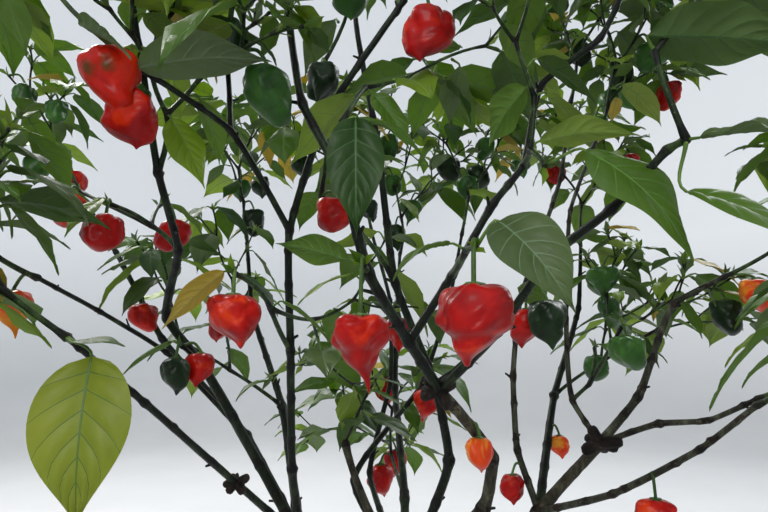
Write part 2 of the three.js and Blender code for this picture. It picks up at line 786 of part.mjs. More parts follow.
// The two shoots that the rule gives the end of another.
function forkOf(shoot, draw) {
  const turn = FORK_TURN + FORK_TURN_SWAY * draw.sway();
  const side = shoot.side.clone().applyAxisAngle(shoot.heading, rad(turn));
  shoot.side = side;
  return [1, -1].map((hand, k) => {
    const away = side.clone().applyAxisAngle(shoot.heading, rad(180 + hand * FORK_SPREAD));
    const angle = rad(FORK_ANGLE + FORK_ANGLE_SWAY * draw.sway());
    const heading = shoot.heading
      .clone()
      .multiplyScalar(Math.cos(angle))
      .addScaledVector(away, Math.sin(angle))
      .addScaledVector(UP, SEEKS_LIGHT)
      .normalize();
    return shootFrom({
      mass: shoot.mass, id: shoot.id * 3 + k + 1, kin: shoot, start: shoot.end, heading,
      length: shoot.length * SHOOT_SHARE * (1 + SHOOT_SWAY * draw.sway()),
      radius: shoot.thin, side: squareTo(heading, side), forks: shoot.forks - 1, ruled: true,
    });
  });
}

function shootFits(shoot, capsules, shoots) {
  const spots = [0.4, 0.75, 1].map((share) => along(shoot.start, shoot.heading, shoot.length * share));
  const strangers = shoots.filter((other) => other !== shoot.kin && other.kin !== shoot.kin);
  return spots.every(
    (spot) =>
      inCrown(spot) &&
      capsules.every((capsule) => gapTo(spot, capsule) > LIMB_GAP) &&
      strangers.every((other) => gapTo(spot, other) > SHOOT_GAP),
  );
}

// Every shoot of every mass. The masses grow side by side, one fork at a time, so that they share the
// crown evenly. A shoot that has no room is skipped, and a leaf stands in its place.
function grownShoots(masses, limbs) {
  const capsules = capsulesOf(limbs);
  const shoots = masses.flatMap(listedShoots);
  let tips = [...shoots];
  while (tips.length > 0) {
    const next = [];
    for (const tip of tips.filter((shoot) => shoot.forks > 0)) {
      for (const child of forkOf(tip, seeded(tip.mass.seed * 10007 + tip.id * 613))) {
        if (shootFits(child, capsules, shoots)) {
          shoots.push(child);
          next.push(child);
          tip.growths.push({ shoot: child, direction: child.heading });
        } else {
          tip.blocked.push(headingOf(child.heading));
        }
      }
    }
    tips = next;
  }
  return shoots;
}

// The leaves and pods that the rule wants at the end of a shoot, in order of need.
function wantedAt(shoot) {
  if (!shoot.ruled) return [];
  const draw = seeded(shoot.mass.seed * 7919 + shoot.id * 389);
  const podChance = draw.random();
  const leafChance = draw.random();
  const wanted = shoot.blocked.map((heading) => ruledLeaf(shoot, heading, draw));
  if (shoot.growths.some((growth) => growth.shoot) || wanted.length > 0) {
    const behind = headingOf(shoot.side);
    if (podChance < POD_CHANCE) wanted.push(ruledPod(shoot, behind, draw));
    else if (leafChance < FORK_LEAF_CHANCE) wanted.push(ruledLeaf(shoot, behind, draw));
    return wanted;
  }
  const outward = headingOf(shoot.heading);
  const turns = Math.asin(shoot.heading.z) > rad(STEEP) ? ROSETTE : LEVEL_ROSETTE;
  const rosette = turns.map((turn) => ruledLeaf(shoot, outward + turn, draw));
  if (podChance < POD_CHANCE) rosette[2] = ruledPod(shoot, outward + turns[2], draw);
  else if (leafChance > THIRD_LEAF_CHANCE) rosette.pop();
  return rosette;
}

// The points of a blade: its left and right edges, its keel and its tip.
function bladePoints({ start, forward, across, above, length, width }) {
  const middle = along(start, forward, BLADE_WIDEST * length);
  return {
    edge: [
      along(middle, across, width / 2),
      along(middle, across, -width / 2),
      along(middle, above, -BLADE_THICK * length),
    ],
    tip: along(along(start, forward, length), above, -BLADE_DIP * length),
  };
}

// Skins a leaf from a face of its node: a stalk, then a blade with a keel under it.
function skinLeaf(skin, face, leaf) {
  const stalk = ring(leaf.start, leaf.forward, leaf.across, 3, () => STALK_RADIUS);
  const stalkRing = skin.place(skin.untwisted(face, stalk));
  skin.band(face, stalkRing);
  const { edge, tip } = bladePoints(leaf);
  const edgeRing = skin.place(skin.untwisted(stalkRing, edge));
  skin.band(stalkRing, edgeRing);
  skin.taper(edgeRing, skin.place([tip])[0]);
}

// Skins a pod from a face of its node: a pedicel that bends over, a broad shoulder and a tail.
function skinPod(skin, face, { node, direction, width, length, reach, drop }) {
  const down = UP.clone().negate();
  const crest = along(along(node, direction, reach * 0.6), UP, PEDICEL_RISE);
  const bend = direction.clone().add(down).normalize();
  const crestRing = skin.place(
    skin.untwisted(face, ring(crest, bend, UP, 3, () => PEDICEL_RADIUS)),
  );
  skin.band(face, crestRing);
  const top = along(along(node, direction, reach), down, drop);
  const neck = along(top, UP, POD_NECK * width);
  const neckRing = skin.place(
    skin.untwisted(crestRing, ring(neck, down, direction, 3, () => PEDICEL_RADIUS)),
  );
  skin.band(crestRing, neckRing);
  const facing = skin.points[neckRing[0]].clone().sub(neck);
  let last = neckRing;
  for (const [out, share] of POD_RINGS) {
    const centre = along(top, down, share * length);
    const next = skin.place(ring(centre, down, facing, 6, () => out * width));
    if (last.length < next.length) skin.widen(last, next);
    else skin.band(last, next);
    last = next;
  }
  skin.taper(last, skin.place([along(top, down, length)])[0]);
}

// How a growth leaves the end of its shoot: its turn round the shoot, and how far it leans from it.
function bearingOf(shoot, { direction }) {
  const zero = sideOf(shoot.heading);
  const other = new THREE.Vector3().crossVectors(shoot.heading, zero);
  const turn = Math.atan2(direction.dot(other), direction.dot(zero)) * THREE.MathUtils.RAD2DEG;
  return { turn, lean: direction.angleTo(shoot.heading) * THREE.MathUtils.RAD2DEG };
}

// Turns the ring at a shoot's end so that its three faces look toward what leans out there, and gives
// each growth its face. What goes straight on takes a face that is left.
function planNode(shoot) {
  const borne = shoot.growths.map((growth) => ({ growth, ...bearingOf(shoot, growth) }));
  const leaning = borne.filter(({ lean }) => lean > STRAIGHT_ON).sort((a, b) => a.turn - b.turn);
  const straight = borne.filter(({ lean }) => lean <= STRAIGHT_ON);
  const wide = leaning.length === 2 && leaning[1].turn - leaning[0].turn > 180;
  const faces = wide ? [0, 2, 1] : [0, 1, 2];
  const offsets = leaning.map(({ turn }, i) => turn - 120 * faces[i]);
  const mean = offsets.reduce((sum, offset) => sum + offset, 0) / (leaning.length || 1);
  const facing = sideOf(shoot.heading).applyAxisAngle(shoot.heading, rad(mean - 60));
  const points = ring(shoot.end, shoot.heading, facing, 3, () => shoot.thin);
  const apex = along(shoot.end, shoot.heading, shoot.thin * APEX_RISE);
  shoot.node = { points, apex, slots: [null, null, null] };
  [...leaning, ...straight].forEach(({ growth }, i) => {
    const k = faces[i];
    growth.face = [points[k], points[(k + 1) % 3], apex];
    shoot.node.slots[k] = growth;
    if (growth.shoot) growth.shoot.base = growth.face;
  });
}

// Skins a shoot from its base up to the three faces of its node, and then what grows on them.
function skinShoot(skin, base, shoot, grow) {
  const { points, apex, slots } = shoot.node;
  const placed = skin.place(points);
  const [peak] = skin.place([apex]);
  skin.band(base, skin.untwisted(base, points).map((point) => placed[points.indexOf(point)]));
  slots.forEach((growth, k) => {
    const face = [placed[k], placed[(k + 1) % 3], peak];
    if (growth && grow(growth)) skinGrowth(skin, face, growth, grow);
    else skin.faces.push(face);
  });
}

function skinGrowth(skin, face, growth, grow) {
  if (growth.shoot) skinShoot(skin, face, growth.shoot, grow);
  else if (growth.taken.leaf) skinLeaf(skin, face, growth.taken.leaf);
  else skinPod(skin, face, growth.taken.pod);
}

// One piece of a mass alone as a closed solid, for tests.
function alone(base, build) {
  const skin = new Skin();
  const placed = skin.place(base);
  skin.cap(placed);
  build(skin, placed);
  return skin.solid();
}

// True if a leaf or pod keeps to the crown and nearer to its own mass's twigs than to another's.
function inOwnSpace({ leaf, pod }, own, others) {
  const spots = leaf
    ? [...bladePoints(leaf).edge.slice(0, 2), bladePoints(leaf).tip]
    : [along(pod.node, UP, -pod.drop - pod.length)];
  const nearest = (spot, shoots) => Math.min(...shoots.map((shoot) => gapTo(spot, shoot)));
  return spots.every((spot) => inCrown(spot) && nearest(spot, own) < nearest(spot, others) - SPACE_GAP);
}

// The ring that a mass's stem starts from: inside the limb where the mass stands on a limb's side, and
// face to face with the limb's end at its tip.
function rootRing({ mass, start, heading, side, radius }) {
  if (mass.joint) return ring(along(start, heading, -ROOT_DEPTH), heading, side, 3, () => radius);
  return ring(start, mass.direction, side, 3, () => radius);
}

// Gives every shoot of a mass its leaves and pods, leaving out those that would leave the mass's space
// or touch a limb, a twig or each other.
function dress(mass, shoots, swollen) {
  const own = shoots.filter((shoot) => shoot.mass === mass);
  const others = shoots.filter((shoot) => shoot.mass !== mass);
  for (const shoot of own) {
    shoot.base ??= rootRing(shoot);
    for (const growth of wantedAt(shoot)) {
      growth.choices = growth.choices.filter((choice) => inOwnSpace(choice, own, others));
      if (growth.choices.length > 0 && shoot.growths.length < 3) shoot.growths.push(growth);
    }
    planNode(shoot);
  }
  const standing = own.map((shoot) =>
    alone(shoot.base, (skin, base) => skinShoot(skin, base, shoot, () => false)),
  );
  const borne = own.flatMap((shoot) => shoot.growths).filter((growth) => growth.choices);
  const podsFirst = [...borne].sort((a, b) => Number(!a.choices[0].pod) - Number(!b.choices[0].pod));
  for (const growth of podsFirst) {
    for (const choice of growth.choices) {
      growth.taken = choice;
      const solid = alone(growth.face, (skin, base) => skinGrowth(skin, base, growth));
      if (![...swollen, ...standing].some((other) => overlap(other, solid) > LEAST_OVERLAP)) {
        standing.push(solid);
        break;
      }
      growth.taken = null;
    }
  }
  return own;
}

// The solid of a mass: one skin from its stem to every leaf and pod. One that stands on a limb's side is
// trimmed clear of the limbs that its root is in.
function massSolid(stem, swollen) {
  const skin = new Skin();
  const base = skin.place(stem.base);
  skin.cap(base);
  skinShoot(skin, base, stem, (growth) => growth.shoot || growth.taken);
  let solid = skin.solid();
  for (const limb of swollen) {
    if (stem.mass.joint && overlap(limb, solid) > ROOT_OVERLAP) solid = solid.subtract(limb);
  }
  return mainBody(solid);
}

// Each mass with the point that it starts from and, where it lists no twigs, its stem.
function placedMasses(limbs) {
  return MASSES.map((row) => {
    const { curve } = limbs.get(row.on);
    const joint = row.joint ?? curve.headings.length;
    const direction = curve.headings[Math.min(joint, curve.headings.length) - 1];
    const start = along(curve.joints[joint], direction, row.joint ? 0 : CLEAR);
    const heading = headingOf(direction);
    const rise = Math.asin(direction.z) * THREE.MathUtils.RAD2DEG;
    const twigs = row.twigs ?? [{ way: [heading, rise, row.first], forks: row.forks }];
    return { ...row, start, direction, twigs };
  });
}

function meshOf(name, solid, colour, roughness) {
  const made = solid.getMesh();
  const geometry = new THREE.BufferGeometry()
    .setAttribute("position", new THREE.Float32BufferAttribute(made.vertProperties, 3))
    .setIndex([...made.triVerts]);
  geometry.computeVertexNormals();
  const mesh = new THREE.Mesh(
    geometry,
    new THREE.MeshStandardMaterial({ color: colour, roughness, metalness: 0 }),
  );
  mesh.name = name;
  return mesh;
}

const plant = new THREE.Group();
const limbs = grownLimbs();
const { solids, swollen } = limbSolids(limbs);
for (const [name, solid] of solids) {
  plant.add(meshOf(name, solid, name === "trunk" ? BARK_BROWN : BARK_GREEN, 0.7));
}
const masses = placedMasses(limbs);
const shoots = grownShoots(masses, limbs);
for (const mass of masses) {
  const own = dress(mass, shoots, swollen);
  plant.add(meshOf(mass.name, massSolid(own[0], swollen), LEAF_GREEN, 0.55));
}

export default plant;
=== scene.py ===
"""The looks of a tall chilli pepper plant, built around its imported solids.

The limbs, and the rule that twigs, leaves and pods grow by, are those of the solids, written again here
and carried on to finer twigs. Sizes are in millimetres and angles in degrees, with +Z up, until a mesh
is made in metres.
"""

import json
import math
from dataclasses import dataclass, field, replace

import bpy
import numpy as np
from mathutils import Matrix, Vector

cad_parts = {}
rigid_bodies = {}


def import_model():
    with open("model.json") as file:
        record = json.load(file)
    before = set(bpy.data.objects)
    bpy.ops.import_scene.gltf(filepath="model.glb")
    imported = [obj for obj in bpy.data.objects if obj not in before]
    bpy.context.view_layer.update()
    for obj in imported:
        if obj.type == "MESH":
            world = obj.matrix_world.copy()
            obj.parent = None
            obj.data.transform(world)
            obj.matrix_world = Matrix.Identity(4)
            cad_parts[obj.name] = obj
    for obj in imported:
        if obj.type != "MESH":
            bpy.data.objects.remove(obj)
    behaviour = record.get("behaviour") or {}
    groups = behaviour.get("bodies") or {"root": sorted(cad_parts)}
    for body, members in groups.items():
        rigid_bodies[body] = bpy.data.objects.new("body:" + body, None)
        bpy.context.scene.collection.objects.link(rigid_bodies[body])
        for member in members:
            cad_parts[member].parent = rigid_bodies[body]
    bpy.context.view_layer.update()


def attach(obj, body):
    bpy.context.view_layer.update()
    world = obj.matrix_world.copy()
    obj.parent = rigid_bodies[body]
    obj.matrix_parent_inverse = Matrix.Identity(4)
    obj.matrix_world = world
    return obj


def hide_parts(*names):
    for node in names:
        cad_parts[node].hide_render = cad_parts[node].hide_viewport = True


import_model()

MM = 0.001
# Nearly a full turn, for the phases of waves on leaves and pods.
TURN = 6.28
UP = np.array([0.0, 0.0, 1.0])
EAST = np.array([1.0, 0.0, 0.0])
# The rise of a unit vector from which it counts as upright.
UPRIGHT = 0.9
WORD = 0xFFFFFFFF

# The crown's outline is an egg: nothing that grows by rule leaves it.
CROWN_CENTRE = np.array([0.0, 70.0, 690.0])
CROWN_HALF = np.array([660.0, 500.0, 610.0])
LOWEST_LEAF = 330

# Root flare: how far the trunk swells at the ground, and how fast the swelling dies away above it.
FLARE = 11
FLARE_HEIGHT = 34
FLARE_LOBES = 5
FLARE_DEPTH = 3
# How strongly a limb's curve follows its direction at each joint: 1 is a round bend, 0 a sharp one.
BEND_SOFTNESS = 0.5
# How many straight pieces stand for each reach of a limb in tests of distance.
CAPSULES_A_REACH = 4


@dataclass
class Limb:
    """A limb springs from a joint of its parent. Each reach is (heading from +X, rise, length)."""

    name: str
    parent: str
    joint: int
    foot: float
    tip: float
    reaches: list

    @property
    def woody(self):
        """True of the trunk and the stems, which have bark of their own."""
        return self.name == "trunk" or self.name.startswith("stem_")


LIMBS = [
    Limb("trunk", None, 0, 32, 27, [(200, 87, 150), (0, 86, 160)]),
    Limb("stem_left", "trunk", 2, 20, 16, [(173, 53, 185)]),
    Limb(
        "stem_middle", "trunk", 2, 18, 10.5,
        [(89, 86, 115), (-32, 41, 118), (-84, 58, 65), (-131, 39, 105)],
    ),
    Limb("stem_right", "trunk", 2, 18, 13.5, [(23, 43, 235), (-15, 48, 107)]),
    Limb(
        "leader_left", "stem_left", 1, 10.5, 6,
        [(-95, 61, 91), (-86, 67, 129), (-85, 66, 117), (-50, 58, 109), (-21, 52, 111)],
    ),
    Limb("bough_near_upper_left", "leader_left", 3, 7, 5, [(-123, 44, 101), (-132, 18, 77)]),
    Limb("bough_upper_left", "bough_near_upper_left", 1, 5.5, 4.5, [(126, 77, 60), (125, 58, 130)]),
    Limb(
        "bough_far_left", "stem_left", 1, 13, 5.5,
        [(154, 52, 127), (154, 38, 182), (171, 57, 138), (162, 51, 126)],
    ),
    Limb(
        "bough_tall_left", "stem_left", 1, 13, 4.5,
        [(-170, 59, 211), (-137, 50, 66), (-64, 40, 95), (-89, 44, 83), (-92, 62, 81), (-102, 69, 73)],
    ),
    Limb("bough_low_left", "stem_left", 1, 9.5, 5, [(-121, 38, 124), (-114, 36, 141), (-111, 34, 88)]),
    Limb("bough_left", "bough_far_left", 1, 6.5, 4.5, [(-151, 46, 132), (-118, 26, 93), (-107, 19, 77)]),
    Limb(
        "leader_near", "stem_middle", 4, 10.5, 6,
        [(-127, 41, 61), (-123, 41, 76), (-174, 74, 73), (162, 62, 71), (147, 79, 96), (60, 75, 80)],
    ),
    Limb(
        "bough_near_right", "stem_middle", 4, 9, 6,
        [(-53, 36, 82), (-53, 45, 75), (-39, 32, 50), (-44, 41, 48)],
    ),
    Limb(
        "bough_upper_right", "leader_near", 1, 8, 5,
        [(-14, 56, 63), (-16, 59, 66), (11, 51, 42), (-36, 74, 67), (-29, 31, 54), (20, 60, 60)],
    ),
    Limb(
        "leader_middle", "stem_middle", 1, 12, 5,
        [(-42, 64, 134), (-139, 76, 79), (-142, 63, 112), (-119, 75, 138), (-162, 80, 136), (60, 65, 90)],
    ),
    Limb(
        "bough_back_centre_right", "stem_middle", 1, 10, 5.5,
        [(130, 41, 119), (44, 41, 161), (42, 63, 134), (50, 70, 110)],
    ),
    Limb(
        "bough_back_centre", "stem_middle", 1, 9, 5.5,
        [(110, 34, 140), (40, 73, 118), (91, 78, 111), (130, 68, 110)],
    ),
    Limb("bough_right", "stem_right", 2, 12, 6.5, [(-11, 50, 69), (3, 64, 119), (-27, 29, 61)]),
    Limb("bough_right_level", "stem_right", 2, 8.5, 5.5, [(-43, 23, 71), (-42, 9, 49), (-48, 28, 51)]),
    Limb(
        "bough_tall_right", "stem_right", 2, 8, 5,
        [(153, 59, 55), (-113, 80, 113), (7, 84, 117), (15, 66, 90)],
    ),
    Limb("bough_lowest_right", "stem_right", 1, 9.5, 5.5, [(-59, 22, 111), (-55, 32, 107), (-51, 41, 64)]),
    Limb(
        "leader_right", "stem_right", 1, 10, 5.5,
        [(123, 65, 71), (100, 87, 90), (22, 81, 96), (-6, 70, 170), (-8, 80, 110)],
    ),
    Limb("bough_back_left", "stem_left", 1, 13, 6, [(112, 48, 170), (128, 52, 160), (118, 66, 130)]),
    Limb("bough_back_right", "stem_right", 1, 13, 6, [(62, 46, 170), (48, 52, 160), (60, 66, 130)]),
    Limb("bough_back", "trunk", 2, 14, 6, [(88, 54, 200), (95, 50, 170), (84, 64, 150), (80, 75, 80)]),
]


def leaf(stalk, blade, width, roll, look="mid"):
    """A listed leaf. Its stalk and blade are ways (heading, rise, length)."""
    return {"kind": "leaf", "stalk": stalk, "blade": blade, "width": width, "roll": roll, "look": look}


def pod(heading, width, reach, drop, length=1.2, look="red", form="lantern", hook=None):
    """A listed pod, which hangs reach out from its node and drop below it."""
    size = width, width * length, reach, drop
    return {"kind": "pod", "heading": heading, "size": size, "looks": (look, form, hook)}


def twig(way, *borne, forks=0):
    """A listed twig: its way, the leaves, pods and twigs that its end bears, and how often it forks on."""
    return {"kind": "twig", "way": way, "borne": borne, "forks": forks}


def tip_mass(name, on, seed, first, forks):
    """A mass that grows by the rule alone from the tip of its limb."""
    return {"name": name, "on": on, "seed": seed, "joint": None, "first": first, "forks": forks, "twigs": ()}


def listed_mass(name, on, seed, *twigs, joint=None):
    """A mass whose first twigs are listed, from the tip of its limb or from a joint of it."""
    return {"name": name, "on": on, "seed": seed, "joint": joint, "twigs": twigs}


MASSES = [
    listed_mass(
        "foliage_near_upper_left", "bough_near_upper_left", 11,
        twig(
            (-137, 25, 19), leaf((-11, -42, 21), (5, 10, 92), 46, -15, "dull"),
            pod(65, 36, 14, 26, length=1.1, form="plump"),
            twig(
                (-124, 20, 23), leaf((-122, -13, 7), (-19, -31, 60), 28, -20, "dull"),
                pod(60, 37, 17, 9, look="blotched", form="pear", hook=-20), twig((178, 50, 55), forks=2),
            ),
        ),
    ),
    tip_mass("foliage_upper_left", "bough_upper_left", 12, 55, 3),
    tip_mass("foliage_top_left", "bough_tall_left", 13, 65, 3),
    tip_mass("foliage_far_left", "bough_far_left", 14, 55, 3),
    tip_mass("foliage_left", "bough_left", 15, 45, 3),
    listed_mass(
        "foliage_low_left", "bough_low_left", 16,
        twig(
            # This leaf takes the lit tint, with backlight painted into it: paler tissue and darker veins.
            (-63, 0, 17), leaf((-22, -27, 27), (-70, -74, 100), 61, 12, "lit"),
            leaf((-38, -17, 13), (-19, 2, 40), 19, 10, "dull"), twig((-152, 38, 45), forks=2),
        ),
    ),
    tip_mass("foliage_top", "leader_near", 17, 65, 3),
    tip_mass("foliage_top_middle", "leader_middle", 18, 65, 3),
    listed_mass(
        "foliage_top_near", "leader_left", 19,
        twig((-52, 46, 12), pod(-20, 38, 16, 25, length=1.25, form="plump"), twig((-15, 64, 80), forks=3)),
    ),
    tip_mass("foliage_upper_right", "bough_upper_right", 20, 60, 3),
    listed_mass(
        "foliage_near_right", "bough_near_right", 21,
        twig(
            (-59, 11, 13), leaf((-130, -70, 38), (-20, -36, 84), 44, 30, "mid"),
            leaf((-59, -10, 8), (-25, -4, 70), 36, 20, "dull"),
            twig(
                (177, 76, 60), leaf((-147, 60, 11), (-9, -6, 88), 46, -25, "deep"),
                twig((10, 48, 60), forks=2),
            ),
        ),
    ),
    tip_mass("foliage_right", "bough_right", 22, 60, 3),
    tip_mass("foliage_right_level", "bough_right_level", 23, 45, 2),
    tip_mass("foliage_tall_right", "bough_tall_right", 24, 65, 3),
    tip_mass("foliage_lowest_right", "bough_lowest_right", 25, 45, 2),
    tip_mass("foliage_top_right", "leader_right", 26, 65, 3),
    tip_mass("foliage_back_centre_right", "bough_back_centre_right", 27, 70, 3),
    tip_mass("foliage_back_centre", "bough_back_centre", 28, 70, 3),
    tip_mass("foliage_back_left", "bough_back_left", 29, 70, 3),
    tip_mass("foliage_back_right", "bough_back_right", 30, 70, 3),
    tip_mass("foliage_back", "bough_back", 31, 70, 3),
    listed_mass("foliage_back_lower_left", "bough_back_left", 32, twig((165, 30, 90), forks=3), joint=1),
    listed_mass("foliage_back_lower_right", "bough_back_right", 33, twig((15, 30, 90), forks=3), joint=1),
    listed_mass("foliage_back_lower", "bough_back", 34, twig((100, 22, 95), forks=3), joint=1),
    listed_mass(
        "foliage_centre_near", "bough_upper_right", 41,
        twig(
            (-88, 9, 63), leaf((-170, 20, 12), (-160, -28, 50), 24, 0, "mid"),
            twig(
                (-92, -8, 50), leaf((20, 46, 24), (-42, -50, 72), 46, 50, "dull"),
                pod(-110, 45, 8, 24, length=1, form="bell", hook=190),
            ),
        ),
        joint=1,
    ),
    listed_mass(
        "foliage_middle", "leader_near", 42,
        twig(
            (-99, 8, 19), leaf((-170, 20, 12), (-160, 12, 50), 24, 40, "mid"),
            pod(-95, 38, 12, 36, length=1.3, form="tailed", hook=-10),
        ),
        joint=2,
    ),
    listed_mass(
        "foliage_left_centre", "leader_left", 43,
        twig(
            (-100, 34, 66), leaf((20, 30, 12), (5, -35, 55), 26, 0, "mid"),
            twig(
                (-108, 22, 62), leaf((-172, 10, 8), (-172, -42, 62), 26, 35, "turning"),
                pod(-75, 36, 10, 18, length=1.1, hook=-20),
            ),
            twig((72, -4, 86), forks=2),
        ),
        joint=2,
    ),
    listed_mass(
        "foliage_inner", "leader_middle", 44,
        twig(
            (-173, 49, 113), leaf((110, 30, 12), (120, -25, 60), 30, 0, "mid"),
            pod(-35, 35, 18, 6, length=0.95, form="squat"),
            twig((-85, 63, 122), pod(-73, 30, 13, 5, look="dark", form="plump"), forks=2),
        ),
        joint=3,
    ),
    listed_mass(
        "foliage_left_inner", "bough_tall_left", 45,
        twig(
            (172, 40, 38),
            twig(
                (-160, 26, 40), leaf((-120, 20, 10), (-110, -45, 56), 28, 0, "fresh"),
                pod(-80, 38, 12, 14, length=0.9, form="squat"),
            ),
            twig(
                (105, 34, 56), leaf((80, 30, 10), (60, -20, 62), 30, 20, "mid"),
                pod(20, 33, 16, 16, length=1, form="squat"),
            ),
            twig(
                (158, 24, 108), leaf((-170, 20, 10), (-150, -35, 64), 32, 0, "mid"),
                pod(-100, 35, 16, 8, length=1, form="squat"),
            ),
        ),
        joint=3,
    ),
    listed_mass(
        "foliage_centre_right", "bough_upper_right", 46,
        twig(
            (-95, 3, 33), leaf((20, 40, 12), (-8, 4, 72), 28, -30, "fresh"),
            twig((-86, -37, 37), leaf((-45, 6, 30), (-15, -49, 97), 46, 55, "mid")),
            twig((27, 81, 45), leaf((169, 52, 10), (178, -55, 58), 36, 50, "mid"), forks=2),
        ),
        joint=3,
    ),
    listed_mass(
        "foliage_centre_inner", "leader_middle", 47,
        twig(
            (-22, 45, 134), leaf((60, 30, 12), (70, -25, 62), 30, 0, "mid"),
            pod(-30, 38, 18, 14, look="dark"), pod(80, 32, 20, 20),
        ),
        joint=2,
    ),
    listed_mass(
        "foliage_right_inner", "bough_tall_right", 48,
        twig(
            (-20, 43, 27), twig((35, 43, 70), forks=2),
            twig((-80, 42, 98), pod(-90, 36, 8, 10, length=1, look="green", form="squat")),
            twig(
                (60, 40, 66), leaf((30, 30, 10), (20, -30, 60), 30, 0, "mid"),
                pod(60, 32, 8, 10, length=1, look="green", form="squat"),
            ),
        ),
        joint=1,
    ),
    listed_mass(
        "foliage_hanging_near", "leader_near", 49,
        twig(
            (-85, 45, 43), leaf((-20, 10, 10), (-84, -80, 86), 42, 6, "deep"),
            leaf((20, 20, 10), (-9, -30, 60), 22, 30, "mid"),
            twig((77, 42, 80), leaf((-5, -40, 8), (-5, -55, 56), 26, 55, "mid"), forks=2),
        ),
        joint=3,
    ),
    listed_mass(
        "foliage_left_lower", "bough_tall_left", 50,
        twig(
            (-107, 30, 44), leaf((-170, 30, 10), (-175, -30, 58), 28, 0, "mid"),
            pod(-90, 30, 14, 12, look="dark"), pod(40, 28, 20, 8),
        ),
        joint=1,
    ),
    listed_mass(
        "foliage_left_upper", "bough_tall_left", 51,
        twig((-60, 50, 52), leaf((-35, -41, 8), (4, -61, 64), 32, 60, "fresh"), forks=3), joint=4,
    ),
]

# Pods that hang straight from limbs: the limb, the share of its length, the heading, then the width,
# length, reach, drop, look and form of the pod.
LIMB_PODS = [
    ("leader_right", 0.14, -160, 29, 34, 14, 10, "red", "lantern"),
    ("bough_lowest_right", 0.49, -90, 33, 36, 6, 20, "red", "plump"),
    ("stem_middle", 0.87, -50, 25, 30, 10, 9, "orange", "plump"),
    ("bough_far_left", 0.62, -40, 35, 36, 12, 10, "red", "squat"),
    ("bough_left", 1, -165, 32, 40, 17, 12, "orange", "tailed"),
    ("bough_back_right", 0.22, -30, 25, 29, 12, 10, "orange", "lantern"),
    ("bough_back_centre_right", 0.5, -60, 34, 44, 12, 6, "red", "lantern"),
    ("bough_right", 1, -12, 34, 40, 30, 4, "orange", "plump"),
]

# The rule that every mass grows by. Lengths and radii shrink by these shares at each fork, and the
# two new shoots lean this far from the old one, to the side away from the leaf at the fork. The first
# twigs are turned about their way by MASS_TURN times the mass's seed.
FORK_ANGLE = 32
FORK_ANGLE_SWAY = 9
FORK_SPREAD = 74
FORK_TURN = 100
FORK_TURN_SWAY = 30
SHOOT_SHARE = 0.86
SHOOT_SWAY = 0.2
SEEKS_LIGHT = 0.15
MASS_TURN = 47
STEM_RADIUS = 2.6
THINNING = 0.84
LEAST_RADIUS = 1.3
TIP_CLEAR = 0.3
# Where along a new shoot, or a finer one, room is looked for, and how far it keeps from limbs and from
# every shoot that is not its own kin.
SHOOT_PLACES = (0.4, 0.75, 1)
FINE_PLACES = (0.5, 0.8, 1)
LIMB_GAP = 7
SHOOT_GAP = 15
# The finer twigs that the rule is carried on to, which stand closer together.
FINE_SHARE = 0.62
FINE_LIMB_GAP = 4
FINE_SHOOT_GAP = 8
FINE_RADIUS = 1.05

# Leaves that grow by the rule: at the ends of twigs and of finer ones, and on the sides of those longer
# than LONG_SHOOT. Lengths are the blade's, and the stalk is a share of it.
LEAF_LENGTH = 84
FINE_LEAF_LENGTH = 56
SIDE_LEAF_LENGTH = 62
SIDE_LEAF_SWAY = 90
LONG_SHOOT = 24
LEAF_LENGTH_SWAY = 0.22
LEAF_WIDTH = 0.5
LEAF_DROOP = 26
LEAF_DROOP_SWAY = 26
LEAF_TURN_SWAY = 22
LEAF_ROLL_SWAY = 25
STALK_SHARE = 0.2
# How the leaves round a tip are turned from its heading, where it rises more than STEEP and where not.
ROSETTE = [-64, 64, 180]
LEVEL_ROSETTE = [-64, 64, 0]
STEEP = 40
# Where a leaf has no room it is tried again, turned by this much and cut to this share of its length.
LEAF_TRIES = [(0, 1), (28, 0.85), (-28, 0.85), (0, 0.65)]
# How often a fork without a pod bears a leaf, how often a rosette has its third one, and how much nearer
# a leaf or pod must be to its own mass's twigs than to those of others.
FORK_LEAF_CHANCE = 0.7
THIRD_LEAF_CHANCE = 0.7
SPACE_GAP = 1.5
# How near a leaf or pod may come to wood and to another one, and how far off neighbours are looked for.
WOOD_GAP = 1.5
GROWTH_GAP = 5
FINE_GROWTH_GAP = 3
NEIGHBOUR_REACH = 110
MOST_GROWTHS = 3
# The places tested: on a blade as (along, out) and on a pod as (out, down), in shares of length and width.
# A blade is widest at WIDEST_AT of its length, and its tip hangs down by BLADE_DIP of it.
LEAF_SPOTS = [(0.12, 0.3), (0.27, 0.44), (0.42, 0.5), (0.57, 0.42), (0.72, 0.28), (0.87, 0.12), (1, 0)]
WIDEST_AT = 0.4
BLADE_DIP = 0.1
POD_SPOT_RINGS = [(0.2, 0.02), (0.48, 0.12), (0.5, 0.34), (0.31, 0.7)]
POD_SPOT_TURN = 45

# Pods that grow by the rule. Each is tried again further out where it has no room.
POD_CHANCE = 0.24
POD_WIDTH = 34
POD_WIDTH_SWAY = 0.16
POD_LENGTH = 1.2
POD_REACH = 16
POD_DROP = 12
POD_TRIES = [0, 5, 10, 16]
PEDICEL_RADIUS = 1.5
PEDICEL_RISE = 3
POD_NECK = 0.1


def toward(heading, rise):
    """The unit vector with this heading and rise."""
    level = math.cos(math.radians(rise))
    turn = math.radians(heading)
    return np.array([level * math.cos(turn), level * math.sin(turn), math.sin(math.radians(rise))])


def heading_of(direction):
    return math.degrees(math.atan2(direction[1], direction[0]))


def rise_of(direction):
    return math.degrees(math.asin(max(-1.0, min(1.0, direction[2]))))


def unit(vector):
    return vector / np.linalg.norm(vector)


def square_to(axis, direction):
    """The part of a direction that is square to an axis, as a unit vector."""
    return unit(direction - axis * (direction @ axis))


